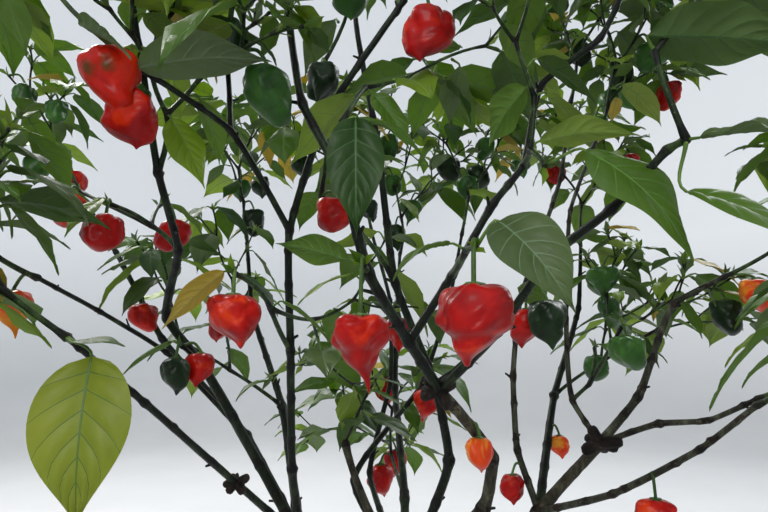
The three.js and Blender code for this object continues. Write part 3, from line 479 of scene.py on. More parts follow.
def side_of(axis):
    """A unit vector square to an axis: the one nearest to up, or to east where the axis is upright."""
    return square_to(axis, EAST if abs(axis[2]) > UPRIGHT else UP)


def turned(vector, axis, angle):
    """A vector turned about a unit axis."""
    c, s = math.cos(math.radians(angle)), math.sin(math.radians(angle))
    return vector * c + np.cross(axis, vector) * s + axis * (axis @ vector) * (1 - c)


def between_points(t, start, end, leaving, arriving):
    """The place at a share t of a curve between two points with given tangents at its ends."""
    return (
        start * (1 + 2 * t) * (1 - t) ** 2 + leaving * t * (1 - t) ** 2
        + end * t * t * (3 - 2 * t) + arriving * t * t * (t - 1)
    )


def smooth_step(low, high, value):
    share = np.clip((value - low) / (high - low), 0, 1)
    return share * share * (3 - 2 * share)


# The seeds of the streams of numbers. A shoot's is made of its mass's seed and of its own number, times
# these. One of a row of things has a first seed, and a step from each to the next.
SHOOT_STREAMS = {
    "forks": (10007, 613), "growths": (7919, 389), "finer": (5003, 271), "side_leaf": (6007, 59),
    "fine_leaves": (3001, 197), "young_leaves": (2003, 149), "young_blades": (4001, 83), "bark": (1009, 101),
}
ROW_STREAMS = {
    "limb": (9001, 31), "cut_branch": (8123, 0), "knobs": (6067, 13), "leaf": (4441, 89), "pod": (7331, 97),
}


class Draw:
    """A repeatable stream of numbers, the same as the one that the solids grow by."""

    def __init__(self, seed):
        self.state = seed & WORD

    def random(self):
        self.state = (self.state + 0x6D2B79F5) & WORD
        mixed = ((self.state ^ (self.state >> 15)) * (1 | self.state)) & WORD
        step = ((mixed ^ (mixed >> 7)) * (61 | mixed)) & WORD
        mixed = ((mixed + step) & WORD) ^ mixed
        return (mixed ^ (mixed >> 14)) / (WORD + 1)

    def sway(self):
        return self.random() * 2 - 1

    def between(self, low, high):
        return low + (high - low) * self.random()

    def pick(self, weights):
        """One of the keys of a table of weights."""
        left = self.random() * sum(weights.values())
        for key, weight in weights.items():
            left -= weight
            if left < 0:
                return key
        return key


def draw_of(kind, number=0):
    """The stream of one of a row of things."""
    first, step = ROW_STREAMS[kind]
    return Draw(first + number * step)


class LimbCurve:
    """A limb's centre line: a smooth curve through its joints."""

    def __init__(self, foot, reaches):
        self.headings = [toward(heading, rise) for heading, rise, _ in reaches]
        self.lengths = [length for *_, length in reaches]
        joints = [foot]
        for heading, length in zip(self.headings, self.lengths):
            joints.append(joints[-1] + heading * length)
        self.joints = np.array(joints)

    def direction_at(self, joint):
        before = self.headings[max(joint - 1, 0)]
        after = self.headings[min(joint, len(self.headings) - 1)]
        return unit(before + after)

    def point(self, share):
        whole = min(share * len(self.lengths), len(self.lengths) - 1e-9)
        i = int(whole)
        t = whole - i
        pull = self.lengths[i] * BEND_SOFTNESS
        leaving, arriving = self.direction_at(i) * pull, self.direction_at(i + 1) * pull
        return between_points(t, self.joints[i], self.joints[i + 1], leaving, arriving)

    def path(self, step):
        """Points about step apart, with the share of the curve at each."""
        shares = []
        for i, length in enumerate(self.lengths):
            count = max(2, round(length / step))
            shares += [(i + k / count) / len(self.lengths) for k in range(count)]
        shares.append(1.0)
        return np.array([self.point(share) for share in shares]), np.array(shares)


class Capsules:
    """Straight round pieces of wood, for tests of distance."""

    def __init__(self):
        self.starts, self.ends, self.radii = np.zeros((0, 3)), np.zeros((0, 3)), np.zeros(0)
        self.owners = []

    def add(self, start, end, radius, owner=None):
        self.starts = np.vstack([self.starts, start])
        self.ends = np.vstack([self.ends, end])
        self.radii = np.append(self.radii, radius)
        self.owners.append(owner)

    def gaps(self, points, chosen=slice(None)):
        """How far each point is from the skin of each chosen capsule."""
        starts, radii = self.starts[chosen], self.radii[chosen]
        spans = self.ends[chosen] - starts
        offsets = np.asarray(points)[:, None] - starts
        shares = np.clip((offsets * spans).sum(2) / (spans * spans).sum(1), 0, 1)
        return np.linalg.norm(offsets - shares[..., None] * spans, axis=2) - radii


@dataclass(eq=False)
class Shoot:
    """A straight twig between two nodes. side is where the leaf at its end will stand."""

    mass: dict
    id: int
    kin: object
    start: np.ndarray
    heading: np.ndarray
    length: float
    radius: float
    side: np.ndarray
    forks: int
    ruled: bool
    fine: bool = False
    growths: list = field(default_factory=list)
    blocked: list = field(default_factory=list)

    def __post_init__(self):
        self.thin = max(self.radius * THINNING, FINE_RADIUS if self.fine else LEAST_RADIUS)
        self.end = self.start + self.heading * self.length

    def draw(self, kind):
        """One of the shoot's streams of numbers."""
        mass_step, own_step = SHOOT_STREAMS[kind]
        return Draw(self.mass["seed"] * mass_step + self.id * own_step)

    def places(self, shares):
        """Points on the twig at shares of its length."""
        return np.array([self.start + self.heading * self.length * share for share in shares])

    def forked(self):
        return any(isinstance(growth, Shoot) for growth in self.growths)


@dataclass(eq=False)
class Leaf:
    """A leaf: its node, where its blade starts, the blade's axes and its size. A rule's leaf has no look
    until it is made."""

    node: np.ndarray
    stalk: np.ndarray
    start: np.ndarray
    forward: np.ndarray
    across: np.ndarray
    length: float
    width: float
    look: str = None

    def __post_init__(self):
        self.above = np.cross(self.forward, self.across)

    def spots(self):
        """Points spread over the blade, for tests of distance."""
        return np.array([
            self.start + self.forward * (along * self.length) + self.across * (side * out * self.width)
            - self.above * (BLADE_DIP * along * along * self.length)
            for along, out in LEAF_SPOTS for side in (-1, 0, 1)
        ])

    def corners(self):
        """The two widest points of the blade and its tip."""
        middle = self.start + self.forward * (WIDEST_AT * self.length)
        tip = self.start + self.forward * self.length - self.above * (BLADE_DIP * self.length)
        return np.array([
            middle + self.across * (self.width / 2), middle - self.across * (self.width / 2), tip,
        ])


@dataclass(eq=False)
class Pod:
    """A pod that hangs beside its node."""

    node: np.ndarray
    direction: np.ndarray
    width: float
    length: float
    reach: float
    drop: float
    look: str = None
    form: str = None
    hook: float = None

    def __post_init__(self):
        self.top = self.node + self.direction * self.reach - UP * self.drop

    def spots(self):
        """Points on the pod's skin, for tests of distance."""
        skin = [
            self.top + toward(heading, 0) * (out * self.width) - UP * (down * self.length)
            for out, down in POD_SPOT_RINGS for heading in range(0, 360, POD_SPOT_TURN)
        ]
        return np.array(skin + [self.top - UP * self.length])

    def corners(self):
        return np.array([self.top - UP * self.length])


def in_crown(points):
    points = np.asarray(points)
    inside = np.linalg.norm((points - CROWN_CENTRE) / CROWN_HALF, axis=-1) < 1
    return bool(np.all(inside & (points[..., 2] > LOWEST_LEAF)))


def grown_limbs():
    """Every limb's centre line, by name."""
    curves = {}
    for limb in LIMBS:
        foot = curves[limb.parent].joints[limb.joint] if limb.parent else np.zeros(3)
        curves[limb.name] = LimbCurve(foot, limb.reaches)
    return curves


def limb_capsules(curves):
    capsules = Capsules()
    for limb in LIMBS:
        steps = len(limb.reaches) * CAPSULES_A_REACH
        for i in range(steps):
            radius = (limb.foot + (limb.tip - limb.foot) * i / steps) / 2
            capsules.add(curves[limb.name].point(i / steps), curves[limb.name].point((i + 1) / steps), radius)
    return capsules


def placed_masses(curves):
    """Each mass with the point that it starts from and, where it lists no twigs, its stem."""
    placed = []
    for row in MASSES:
        curve = curves[row["on"]]
        last = len(curve.headings)
        joint = last if row["joint"] is None else row["joint"]
        direction = curve.headings[min(joint, last) - 1]
        start = curve.joints[joint] + direction * (TIP_CLEAR if row["joint"] is None else 0)
        twigs = row["twigs"]
        if not twigs:
            way = heading_of(direction), rise_of(direction), row["first"]
            twigs = [twig(way, forks=row["forks"])]
        placed.append({**row, "start": start, "twigs": twigs})
    return placed


def leaf_at(node, stalk, start, heading, droop, roll, length, width, look=None):
    """A leaf whose blade starts at a point and runs toward a heading, rolled about its midrib."""
    forward = toward(heading, -droop)
    level = np.array([-math.sin(math.radians(heading)), math.cos(math.radians(heading)), 0.0])
    return Leaf(node, stalk, start, forward, turned(level, forward, roll), length, width, look)


def listed_growth(shoot, row):
    """The choices, of one or more, for a leaf or pod that the table gives the end of a shoot."""
    if row["kind"] == "pod":
        return pod_choices(shoot, toward(row["heading"], 0), *row["size"], *row["looks"])
    *way, reach = row["stalk"]
    stalk = toward(*way)
    heading, rise, length = row["blade"]
    size = row["roll"], length, row["width"], row["look"]
    return [leaf_at(shoot.end, stalk, shoot.end + stalk * reach, heading, -rise, *size)]


def pod_choices(shoot, direction, width, length, reach, drop, *looks):
    return [
        Pod(shoot.end, direction, width, length, reach + further, drop, *looks) for further in POD_TRIES
    ]


# The kinds of growth that a table lists, in the order in which a twig's end takes them.
LISTED_KINDS = ("pod", "leaf", "twig")


def listed_shoots(mass):
    """The shoots that a mass's own table lists, down to those that the rule goes on from."""
    shoots = []

    def grow(rows, start, radius, id, kin):
        for k, row in enumerate(rows):
            heading, rise, length = row["way"]
            direction = toward(heading, rise)
            side = turned(side_of(direction), direction, mass["seed"] * MASS_TURN)
            shoot = Shoot(
                mass, id * 3 + k + 1, kin, start, direction, length, radius, side, row["forks"],
                row["forks"] > 0,
            )
            shoots.append(shoot)
            if kin:
                kin.growths.append(shoot)
            listed = {kind: [item for item in row["borne"] if item["kind"] == kind] for kind in LISTED_KINDS}
            shoot.growths += [listed_growth(shoot, item) for item in listed["pod"] + listed["leaf"]]
            grow(listed["twig"], shoot.end, shoot.thin, shoot.id, shoot)

    grow(mass["twigs"], mass["start"], STEM_RADIUS, 0, None)
    return shoots


def fork_of(shoot, draw, share=SHOOT_SHARE, fine=False):
    """The two shoots that the rule gives the end of another."""
    turn = FORK_TURN + FORK_TURN_SWAY * draw.sway()
    side = turned(shoot.side, shoot.heading, turn)
    shoot.side = side
    children = []
    for k, hand in enumerate((1, -1)):
        away = turned(side, shoot.heading, 180 + hand * FORK_SPREAD)
        angle = math.radians(FORK_ANGLE + FORK_ANGLE_SWAY * draw.sway())
        heading = unit(shoot.heading * math.cos(angle) + away * math.sin(angle) + UP * SEEKS_LIGHT)
        length = shoot.length * share * (1 + SHOOT_SWAY * draw.sway())
        children.append(Shoot(
            shoot.mass, shoot.id * 3 + k + 1, shoot, shoot.end, heading, length, shoot.thin,
            square_to(heading, side), shoot.forks - 1, True, fine,
        ))
    return children


def shoot_fits(shoot, limbs, twigs, limb_gap, shoot_gap):
    spots = shoot.places(SHOOT_PLACES)
    if not in_crown(spots) or limbs.gaps(spots).min() <= limb_gap:
        return False
    strangers = [
        i for i, other in enumerate(twigs.owners) if other is not shoot.kin and other.kin is not shoot.kin
    ]
    return twigs.gaps(spots, strangers).min() > shoot_gap


def grow_all(masses, limbs):
    """Every shoot of every mass. The masses grow side by side, one fork at a time."""
    twigs = Capsules()
    shoots = []

    def keep(shoot):
        shoots.append(shoot)
        twigs.add(shoot.start, shoot.end, shoot.radius, shoot)

    for mass in masses:
        for shoot in listed_shoots(mass):
            keep(shoot)
    tips = list(shoots)
    while tips:
        following = []
        for tip in tips:
            if tip.forks < 1:
                continue
            for child in fork_of(tip, tip.draw("forks")):
                if shoot_fits(child, limbs, twigs, LIMB_GAP, SHOOT_GAP):
                    keep(child)
                    following.append(child)
                    tip.growths.append(child)
                else:
                    tip.blocked.append(heading_of(child.heading))
        tips = following
    return shoots, twigs


def ruled_leaf(shoot, heading, draw, size=LEAF_LENGTH):
    """The leaf that the rule gives a node toward a heading, as a few choices."""
    full = size * (1 + LEAF_LENGTH_SWAY * draw.sway())
    first = heading + LEAF_TURN_SWAY * draw.sway()
    droop = LEAF_DROOP + LEAF_DROOP_SWAY * draw.sway()
    roll = LEAF_ROLL_SWAY * draw.sway()
    choices = []
    for turn, share in LEAF_TRIES:
        length = full * share
        stalk = unit(toward(first + turn, -droop) + shoot.heading)
        start = shoot.end + stalk * (length * STALK_SHARE)
        choices.append(leaf_at(
            shoot.end, stalk, start, first + turn, droop, roll, length, length * LEAF_WIDTH,
        ))
    return choices


def ruled_pod(shoot, heading, draw):
    width = POD_WIDTH * (1 + POD_WIDTH_SWAY * draw.sway())
    return pod_choices(shoot, toward(heading, 0), width, width * POD_LENGTH, POD_REACH, POD_DROP)


def rosette_turns(shoot):
    """Where the leaves round the end of a shoot stand, as turns from its heading."""
    return ROSETTE if rise_of(shoot.heading) > STEEP else LEVEL_ROSETTE


def wanted_at(shoot):
    """The leaves and pods that the rule wants at the end of a shoot, in order of need."""
    if not shoot.ruled:
        return []
    draw = shoot.draw("growths")
    pod_chance = draw.random()
    leaf_chance = draw.random()
    wanted = [ruled_leaf(shoot, heading, draw) for heading in shoot.blocked]
    if wanted or shoot.forked():
        behind = heading_of(shoot.side)
        if pod_chance < POD_CHANCE:
            wanted.append(ruled_pod(shoot, behind, draw))
        elif leaf_chance < FORK_LEAF_CHANCE:
            wanted.append(ruled_leaf(shoot, behind, draw))
        return wanted
    outward = heading_of(shoot.heading)
    turns = rosette_turns(shoot)
    rosette = [ruled_leaf(shoot, outward + turn, draw) for turn in turns]
    if pod_chance < POD_CHANCE:
        rosette[2] = ruled_pod(shoot, outward + turns[2], draw)
    elif leaf_chance > THIRD_LEAF_CHANCE:
        rosette.pop()
    return rosette


class Dresser:
    """Hangs leaves and pods on shoots, keeping each to its own mass's space and clear of the rest."""

    def __init__(self, limbs, twigs):
        self.limbs, self.twigs = limbs, twigs
        self.leaves, self.pods = [], []
        self.centres, self.spots = np.zeros((0, 3)), []

    def clear_of_growths(self, spots, gap):
        """True if these points come no nearer than the gap to any leaf or pod that hangs already."""
        near = np.linalg.norm(self.centres - spots.mean(0), axis=1) < NEIGHBOUR_REACH
        standing = [self.spots[i] for i in np.flatnonzero(near)]
        return not standing or (
            np.linalg.norm(spots[:, None] - np.vstack(standing), axis=2).min() >= gap
        )

    def in_own_space(self, item, mass):
        spots = item.corners()
        own = np.array([shoot.mass is mass for shoot in self.twigs.owners])
        gaps = self.twigs.gaps(spots)
        return in_crown(spots) and bool(np.all(gaps[:, own].min(1) < gaps[:, ~own].min(1) - SPACE_GAP))

    def has_room(self, item, shoot, gap):
        spots = item.spots()
        others = [i for i, other in enumerate(self.twigs.owners) if other is not shoot]
        return (
            self.limbs.gaps(spots).min() > WOOD_GAP
            and self.twigs.gaps(spots, others).min() > WOOD_GAP
            and self.clear_of_growths(spots, gap)
        )

    def keep(self, item):
        spots = item.spots()
        self.centres = np.vstack([self.centres, spots.mean(0)])
        self.spots.append(spots)
        (self.pods if isinstance(item, Pod) else self.leaves).append(item)

    def dress(self, mass, shoots, wanted):
        """Gives every shoot what it lists and what the rule wants there, the pods first."""
        asked = []
        for shoot in shoots:
            for choices in wanted(shoot):
                choices = [item for item in choices if self.in_own_space(item, mass)]
                if choices and len(shoot.growths) < MOST_GROWTHS:
                    shoot.growths.append(choices)
            asked += [(shoot, growth) for growth in shoot.growths if not isinstance(growth, Shoot)]
        asked.sort(key=lambda pair: not isinstance(pair[1][0], Pod))
        for shoot, choices in asked:
            for item in choices:
                if item.look or self.has_room(item, shoot, GROWTH_GAP):
                    self.keep(item)
                    break


def carry_on(shoots, dresser):
    """Forks the last twigs once more, with finer twigs that bear smaller leaves and young ones."""
    finer = []
    for shoot in shoots:
        if not shoot.ruled or shoot.forks > 0:
            continue
        draw = shoot.draw("finer")
        for child in fork_of(shoot, draw, FINE_SHARE, fine=True):
            spots = child.places(FINE_PLACES)
            if shoot_fits(child, dresser.limbs, dresser.twigs, FINE_LIMB_GAP, FINE_SHOOT_GAP) and (
                dresser.clear_of_growths(spots, FINE_GROWTH_GAP)
            ):
                dresser.twigs.add(child.start, child.end, child.radius, child)
                finer.append(child)
    return finer


def side_wanted_at(shoot):
    """The leaf that stands on the side of a twig."""
    draw = shoot.draw("side_leaf")
    heading = heading_of(shoot.side) + 180 + SIDE_LEAF_SWAY * draw.sway()
    return [ruled_leaf(shoot, heading, draw, SIDE_LEAF_LENGTH)]


def fine_wanted_at(shoot):
    """The smaller leaves that stand round the end of a fine twig."""
    draw = shoot.draw("fine_leaves")
    outward = heading_of(shoot.heading)
    return [ruled_leaf(shoot, outward + turn, draw, FINE_LEAF_LENGTH) for turn in rosette_turns(shoot)]


def young_leaves(shoot):
    """The small leaves that stand close round the tip of a twig and face its line."""
    draw = shoot.draw("young_leaves")
    first = draw.between(0, 360)
    made = []
    for k in range(YOUNG_LEAVES):
        aside = turned(side_of(shoot.heading), shoot.heading, first + YOUNG_TURN * k)
        forward = unit(shoot.heading + aside * draw.between(*YOUNG_SPREAD) + UP * SEEKS_LIGHT)
        above = square_to(forward, shoot.heading - aside)
        length = draw.between(*YOUNG_LENGTH)
        made.append(Leaf(
            shoot.end, forward, shoot.end + forward, forward, np.cross(above, forward), length,
            length * YOUNG_WIDTH,
        ))
    return made


def linked(name, data):
    """A new object for this data, in the scene."""
    made = bpy.data.objects.new(name, data)
    bpy.context.scene.collection.objects.link(made)
    return made


class Piece:
    """Points and triangles that become one joined mesh. Each triangle has the place of its material."""

    def __init__(self):
        self.points, self.faces, self.slots = [], [], []
        self.count = 0

    def add(self, points, faces, slots=0):
        self.points.append(points)
        self.faces.append(faces + self.count)
        self.slots.append(np.broadcast_to(slots, len(faces)))
        self.count += len(points)

    def add_rings(self, rings, start, end, slots=0):
        """Adds a closed solid of rings, with a fan to a point at each end."""
        points = np.vstack([rings.reshape(-1, 3), start, end])
        self.add(points, closed_faces(*rings.shape[:2]), slots)

    def finish(self, name, materials, slot, nodes, sharp=None):
        """Makes the mesh in metres, smooth but for edges sharper than an angle."""
        points = np.vstack(self.points).astype(np.float32) * MM
        faces = np.vstack(self.faces).astype(np.int32)
        mesh = bpy.data.meshes.new(name)
        mesh.vertices.add(len(points))
        mesh.vertices.foreach_set("co", points.ravel())
        mesh.loops.add(faces.size)
        mesh.loops.foreach_set("vertex_index", faces.ravel())
        mesh.polygons.add(len(faces))
        mesh.polygons.foreach_set("loop_start", np.arange(0, faces.size, 3, dtype=np.int32))
        mesh.polygons.foreach_set("material_index", np.concatenate(self.slots).astype(np.int32))
        for material in materials:
            mesh.materials.append(material)
        mesh.update(calc_edges=True)
        mesh.shade_smooth()
        if sharp:
            mesh.set_sharp_from_angle(angle=math.radians(sharp))
        made = linked(name, mesh)
        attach(made, "root")
        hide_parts(*nodes)


def catmull(points, count):
    """A smooth curve through points, as count points evenly spaced between them."""
    points = np.asarray(points, float)
    padded = np.vstack([2 * points[0] - points[1], points, 2 * points[-1] - points[-2]])
    places = np.linspace(0, len(points) - 1, count)
    i = np.minimum(places.astype(int), len(points) - 2)
    t = (places - i)[:, None]
    a, b, c, d = padded[i], padded[i + 1], padded[i + 2], padded[i + 3]
    return 0.5 * (2 * b + (c - a) * t + (2 * a - 5 * b + 4 * c - d) * t**2 + (3 * b - a - 3 * c + d) * t**3)


def ring_angles(count):
    """The angles of this many points round a ring."""
    return 2 * np.pi * np.arange(count) / count


def level_spokes(around):
    """The level unit vectors at these angles."""
    return np.cos(around)[..., None] * EAST + np.sin(around)[..., None] * np.cross(UP, EAST)


def hump(offset):
    """A smooth bump that is 1 where the offset is 0 and has died away where it is 2."""
    return np.exp(-(offset**2))


def carried_frames(path):
    """The unit tangents of a path, and two unit vectors square to each, carried along without twist."""
    tangents = np.gradient(path, axis=0)
    tangents /= np.linalg.norm(tangents, axis=1)[:, None]
    side = side_of(tangents[0])
    sides = []
    for tangent in tangents:
        side = square_to(tangent, side)
        sides.append(side)
    sides = np.array(sides)
    return tangents, sides, np.cross(tangents, sides)


def band_faces(rows, count):
    """Triangles between rings of count points, one ring after another."""
    k = np.arange(count)
    following = (k + 1) % count
    rings = []
    for row in range(rows - 1):
        a, b = row * count + k, row * count + following
        c, d = b + count, a + count
        rings += [np.stack([a, b, c], 1), np.stack([a, c, d], 1)]
    return np.vstack(rings)


def closed_faces(rows, count):
    """The same, closed by a fan at each end: one to a point after the rings, one to the point after it."""
    k = np.arange(count)
    following = (k + 1) % count
    first, last = np.full(count, rows * count), np.full(count, rows * count + 1)
    start = np.stack([first, following, k], 1)
    end = np.stack([k + (rows - 1) * count, following + (rows - 1) * count, last], 1)
    return np.vstack([band_faces(rows, count), start, end])


def ring_slots(grid):
    """The slots of the faces that closed_faces lists, from the slot of each point of the rings."""
    return np.concatenate([grid[row] for row in range(len(grid) - 1) for _ in range(2)] + [grid[0], grid[-1]])


# A tube's rounded ends: how far its last ring, and then its last point, stand out, and that ring's
# radius, all as shares of the radius before.
END_REACH = 0.6
END_RADIUS = 0.75
END_POINT = 0.4


def tube(piece, path, radii, count, slots=None, relief=None, flat_start=False):
    """Adds a closed round tube along a path, with rounded ends. relief scales each point's radius, and
    slots gives the material of the faces at each point. A flat start stands on the ground."""
    radii = np.broadcast_to(radii, len(path))
    relief = np.broadcast_to(1.0 if relief is None else relief, (len(path), count))
    slots = np.broadcast_to(0 if slots is None else slots, (len(path), count))
    path = np.vstack([path, path[-1] + unit(path[-1] - path[-2]) * radii[-1] * END_REACH])
    radii = np.append(radii, radii[-1] * END_RADIUS)
    relief = np.vstack([relief, relief[-1:]])
    slots = np.vstack([slots, slots[-1:]])
    if not flat_start:
        path = np.vstack([path[0] - unit(path[1] - path[0]) * radii[0] * END_REACH, path])
        radii = np.insert(radii, 0, radii[0] * END_RADIUS)
        relief = np.vstack([relief[:1], relief])
        slots = np.vstack([slots[:1], slots])
    tangents, sides, others = carried_frames(path)
    angles = ring_angles(count)[None, :, None]
    spokes = np.cos(angles) * sides[:, None] + np.sin(angles) * others[:, None]
    rings = path[:, None] + spokes * (radii[:, None] * relief)[..., None]
    start = path[0] - tangents[0] * (0 if flat_start else radii[0] * END_POINT)
    if flat_start:
        rings[..., 2] = np.maximum(rings[..., 2], 0)
        rings[0, :, 2] = 0
    piece.add_rings(rings, start, path[-1] + tangents[-1] * radii[-1] * END_POINT, ring_slots(slots))


def waves(draw, around, along, terms, turns, lengths):
    """A smooth random relief from about -1 to 1 over angles around a tube and distances along it."""
    total = 0
    for _ in range(terms):
        lobes = round(draw.between(*turns))
        pitch = 2 * math.pi / draw.between(*lengths) * (1 if draw.random() < 0.5 else -1)
        total = total + np.sin(lobes * around + pitch * along + draw.between(0, 2 * math.pi))
    return total / terms**0.5


# Limbs: the grid's pitch along them and round them, and how thin they are beside the solids.
WOODY_STEP = 3.2
BOUGH_STEP = 4
SIDE_WIDTH = 2.6
LEAST_SIDES = 12
SLIMNESS = 0.86
# The swellings at a limb's foot, at its joints and at the nodes between them, as shares of its radius.
# FOOT_REACH is a share of the foot's width, and the reach of the others a share of the radius.
FOOT_SWELL = 0.3
FOOT_REACH = 0.5
JOINT_SWELL = (0.3, 1.1)
NODE_SWELL = (0.17, 0.55)
WOODY_NODE_SHARE = 0.3
NODE_SPACING = (26, 62)
# The relief of bark, as shares of the radius. Each is waves: how many, how many lobes round the limb
# and how long. The finer ridges have as many lobes as the grid can hold.
WOODY_RELIEF = 0.05
BOUGH_RELIEF = 0.035
RIDGES = 9, (1, 6), (30, 130)
FINE_RIDGES = 9, 5, (9, 40)
FINE_RIDGE_SHARE = 0.35
# The scars of fallen leaves, by each node between joints, and how far from it they may stand.
SCARS = 2
SCAR_OFFSET = 3
SCAR_WIDTH = 2.4
SCAR_HEIGHT = 1.7
SCAR_RISE = 0.9
# Where bark is darker: at joints and at some nodes, with a ragged edge. The brown boughs' bark
# has the two materials after the green ones.
WOODY_KNOTS = 4
KNOT_REACH = 7
KNOT_EDGE = 0.6
KNOT_RAGS = 6, (1, 5), (8, 30)
KNOT_RAG_SHARE = 0.5
DARK_SLOT = 1
BROWN_SLOTS = 2
BROWN_BOUGHS = {"leader_right", "bough_right", "bough_right_level", "bough_tall_right", "bough_lowest_right"}
# Dry stubs of twigs: how often, how far they stand out, how much they lean along the limb, and their
# radii, which are less on limbs of less than STUB_LIMB.
STUB_CHANCE = 0.22
STUB_REACH = (3, 9)
STUB_LEAN = 0.7
STUB_RADII = np.array([2.1, 1.9, 1.5, 1.3])
STUB_SIDES = 7
STUB_LIMB = 4
# The joints with knobbly clusters, how far these reach, and the width of each knob as a share of that.
KNOBBED = [
    ("stem_right", 2, 21), ("stem_middle", 4, 15), ("bough_low_left", 1, 11), ("bough_tall_left", 1, 12),
]
KNOBS = 10
KNOB_STEPS = np.linspace(0.2, 1, 4)
KNOB_REACH = (0.7, 1)
KNOB_RADIUS = (0.26, 0.42)
KNOB_SIDES = 9
# The pruned branch: its way from its joint, its radii, the lip and the dark rim of its cut end, and
# the twig that has sprouted from it.
CUT_WAY = np.array([-69.0, 78.0, 119.0])
CUT_LENGTH = 158
CUT_BOW = np.array([-8, 0, 0])
CUT_ROWS = 24
CUT_SIDES = 14
CUT_FOOT = 4.8
CUT_TIP = 4.2
CUT_LIP = (1.4, 0.07)
CUT_RIM = 0.93
CUT_RIDGES = 9, (1, 6), (20, 70)
SPROUT_WAY = np.array([42.0, 20.0, 84.0])
SPROUT_RISE = 6
SPROUT_RADIUS = 1.5
SPROUT_ROWS, SPROUT_SIDES = 12, 8


def add_limb(piece, limb, curve, draw):
    """The bark of a limb, swollen at its foot and its nodes, ridged along its length."""
    path, shares = curve.path(WOODY_STEP if limb.woody else BOUGH_STEP)
    distance = np.append(0, np.cumsum(np.linalg.norm(np.diff(path, axis=0), axis=1)))
    radii = (limb.foot + (limb.tip - limb.foot) * shares) / 2 * (1 if limb.name == "trunk" else SLIMNESS)
    count = max(LEAST_SIDES, round(math.pi * limb.foot / SIDE_WIDTH))
    around = ring_angles(count)[None]
    along = distance[:, None]
    if limb.name != "trunk":
        radii = radii * (1 + FOOT_SWELL * np.exp(-distance / (FOOT_REACH * limb.foot)))
    joints = np.arange(1, len(limb.reaches) + 1) / len(limb.reaches)
    nodes = [distance[np.argmin(abs(shares - joint))] for joint in joints]
    place = draw.between(*NODE_SPACING)
    between = []
    while place < distance[-1]:
        between.append(place)
        place += draw.between(*NODE_SPACING)
    node_share = WOODY_NODE_SHARE if limb.woody else 1
    for (swell, reach), share, places in ((JOINT_SWELL, 1, nodes), (NODE_SWELL, node_share, between)):
        for node in places:
            radii = radii * (1 + swell * share * hump((distance - node) / (reach * radii)))
    rough = WOODY_RELIEF if limb.woody else BOUGH_RELIEF
    terms, fewest, lengths = FINE_RIDGES
    relief = 1 + rough * waves(draw, around, along, *RIDGES)
    fine = waves(draw, around, along, terms, (fewest, count // 3), lengths)
    relief = relief + FINE_RIDGE_SHARE * rough * fine
    for node in between:
        for _ in range(SCARS):
            offset = draw.between(-SCAR_OFFSET, SCAR_OFFSET)
            relief = relief + scar(distance, around, radii, node + offset, draw)
    if limb.name == "trunk":
        flare = np.exp(-along / FLARE_HEIGHT) * (FLARE + FLARE_DEPTH * np.cos(FLARE_LOBES * around))
        relief = relief + flare / radii[:, None]
    knots = nodes + (between[::WOODY_KNOTS] if limb.woody else between + [0])
    nearest = np.min([abs(along - knot) for knot in knots], axis=0) / KNOT_REACH
    dark = nearest + KNOT_RAG_SHARE * waves(draw, around, along, *KNOT_RAGS) < KNOT_EDGE
    shades = DARK_SLOT * dark + BROWN_SLOTS * (limb.name in BROWN_BOUGHS)
    tube(piece, path, radii, count, shades, relief, flat_start=limb.name == "trunk")
    for node in between + nodes[:-1]:
        if draw.random() < STUB_CHANCE:
            add_stub(piece, path, distance, radii, node, draw)


def scar(distance, around, radii, place, draw):
    """The raised scar that a fallen leaf leaves on a limb's side."""
    turn = draw.between(0, 2 * math.pi)
    off = (around - turn + math.pi) % (2 * math.pi) - math.pi
    wide = off * radii[:, None] / SCAR_WIDTH
    high = (distance[:, None] - place) / SCAR_HEIGHT
    return SCAR_RISE / radii[:, None] * np.exp(-wide**2 - high**2)


def add_stub(piece, path, distance, radii, place, draw):
    """A short dry stub of a twig on a limb's side."""
    i = int(np.argmin(abs(distance - place)))
    i = min(max(i, 1), len(path) - 2)
    axis = unit(path[i + 1] - path[i - 1])
    out = turned(side_of(axis), axis, draw.between(0, 360))
    length = radii[i] + draw.between(*STUB_REACH)
    steps = path[i] + unit(out + axis * STUB_LEAN) * np.linspace(0, length, len(STUB_RADII))[:, None]
    tube(piece, steps, STUB_RADII * min(1, radii[i] / STUB_LIMB), STUB_SIDES)


def add_knobs(piece, centre, reach, slot, draw):
    """The knobbly cluster of old bud scars round a joint."""
    for _ in range(KNOBS):
        out = unit(np.array([draw.sway(), draw.sway(), draw.sway()]))
        steps = centre + out * KNOB_STEPS[:, None] * reach * draw.between(*KNOB_REACH)
        tube(piece, steps, reach * draw.between(*KNOB_RADIUS), KNOB_SIDES, slot)


def add_cut_branch(piece, foot):
    """The stub of a pruned branch, with a thin twig that has sprouted from its top."""
    t = np.linspace(0, 1, CUT_ROWS)[:, None]
    way = unit(CUT_WAY) * CUT_LENGTH
    around = ring_angles(CUT_SIDES)[None]
    relief = 1 + WOODY_RELIEF * waves(draw_of("cut_branch"), around, t * CUT_LENGTH, *CUT_RIDGES)
    lip, lip_reach = CUT_LIP
    radii = CUT_FOOT + (CUT_TIP - CUT_FOOT) * t[:, 0] + lip * hump((t[:, 0] - 1) / lip_reach)
    path = foot + way * t + CUT_BOW * (4 * t * (1 - t))
    tube(piece, path, radii, CUT_SIDES, DARK_SLOT * (t > CUT_RIM), relief)
    top = foot + way
    sprout = catmull([top, top + SPROUT_WAY * 0.5 + UP * SPROUT_RISE, top + SPROUT_WAY], SPROUT_ROWS)
    tube(piece, sprout, SPROUT_RADIUS, SPROUT_SIDES)


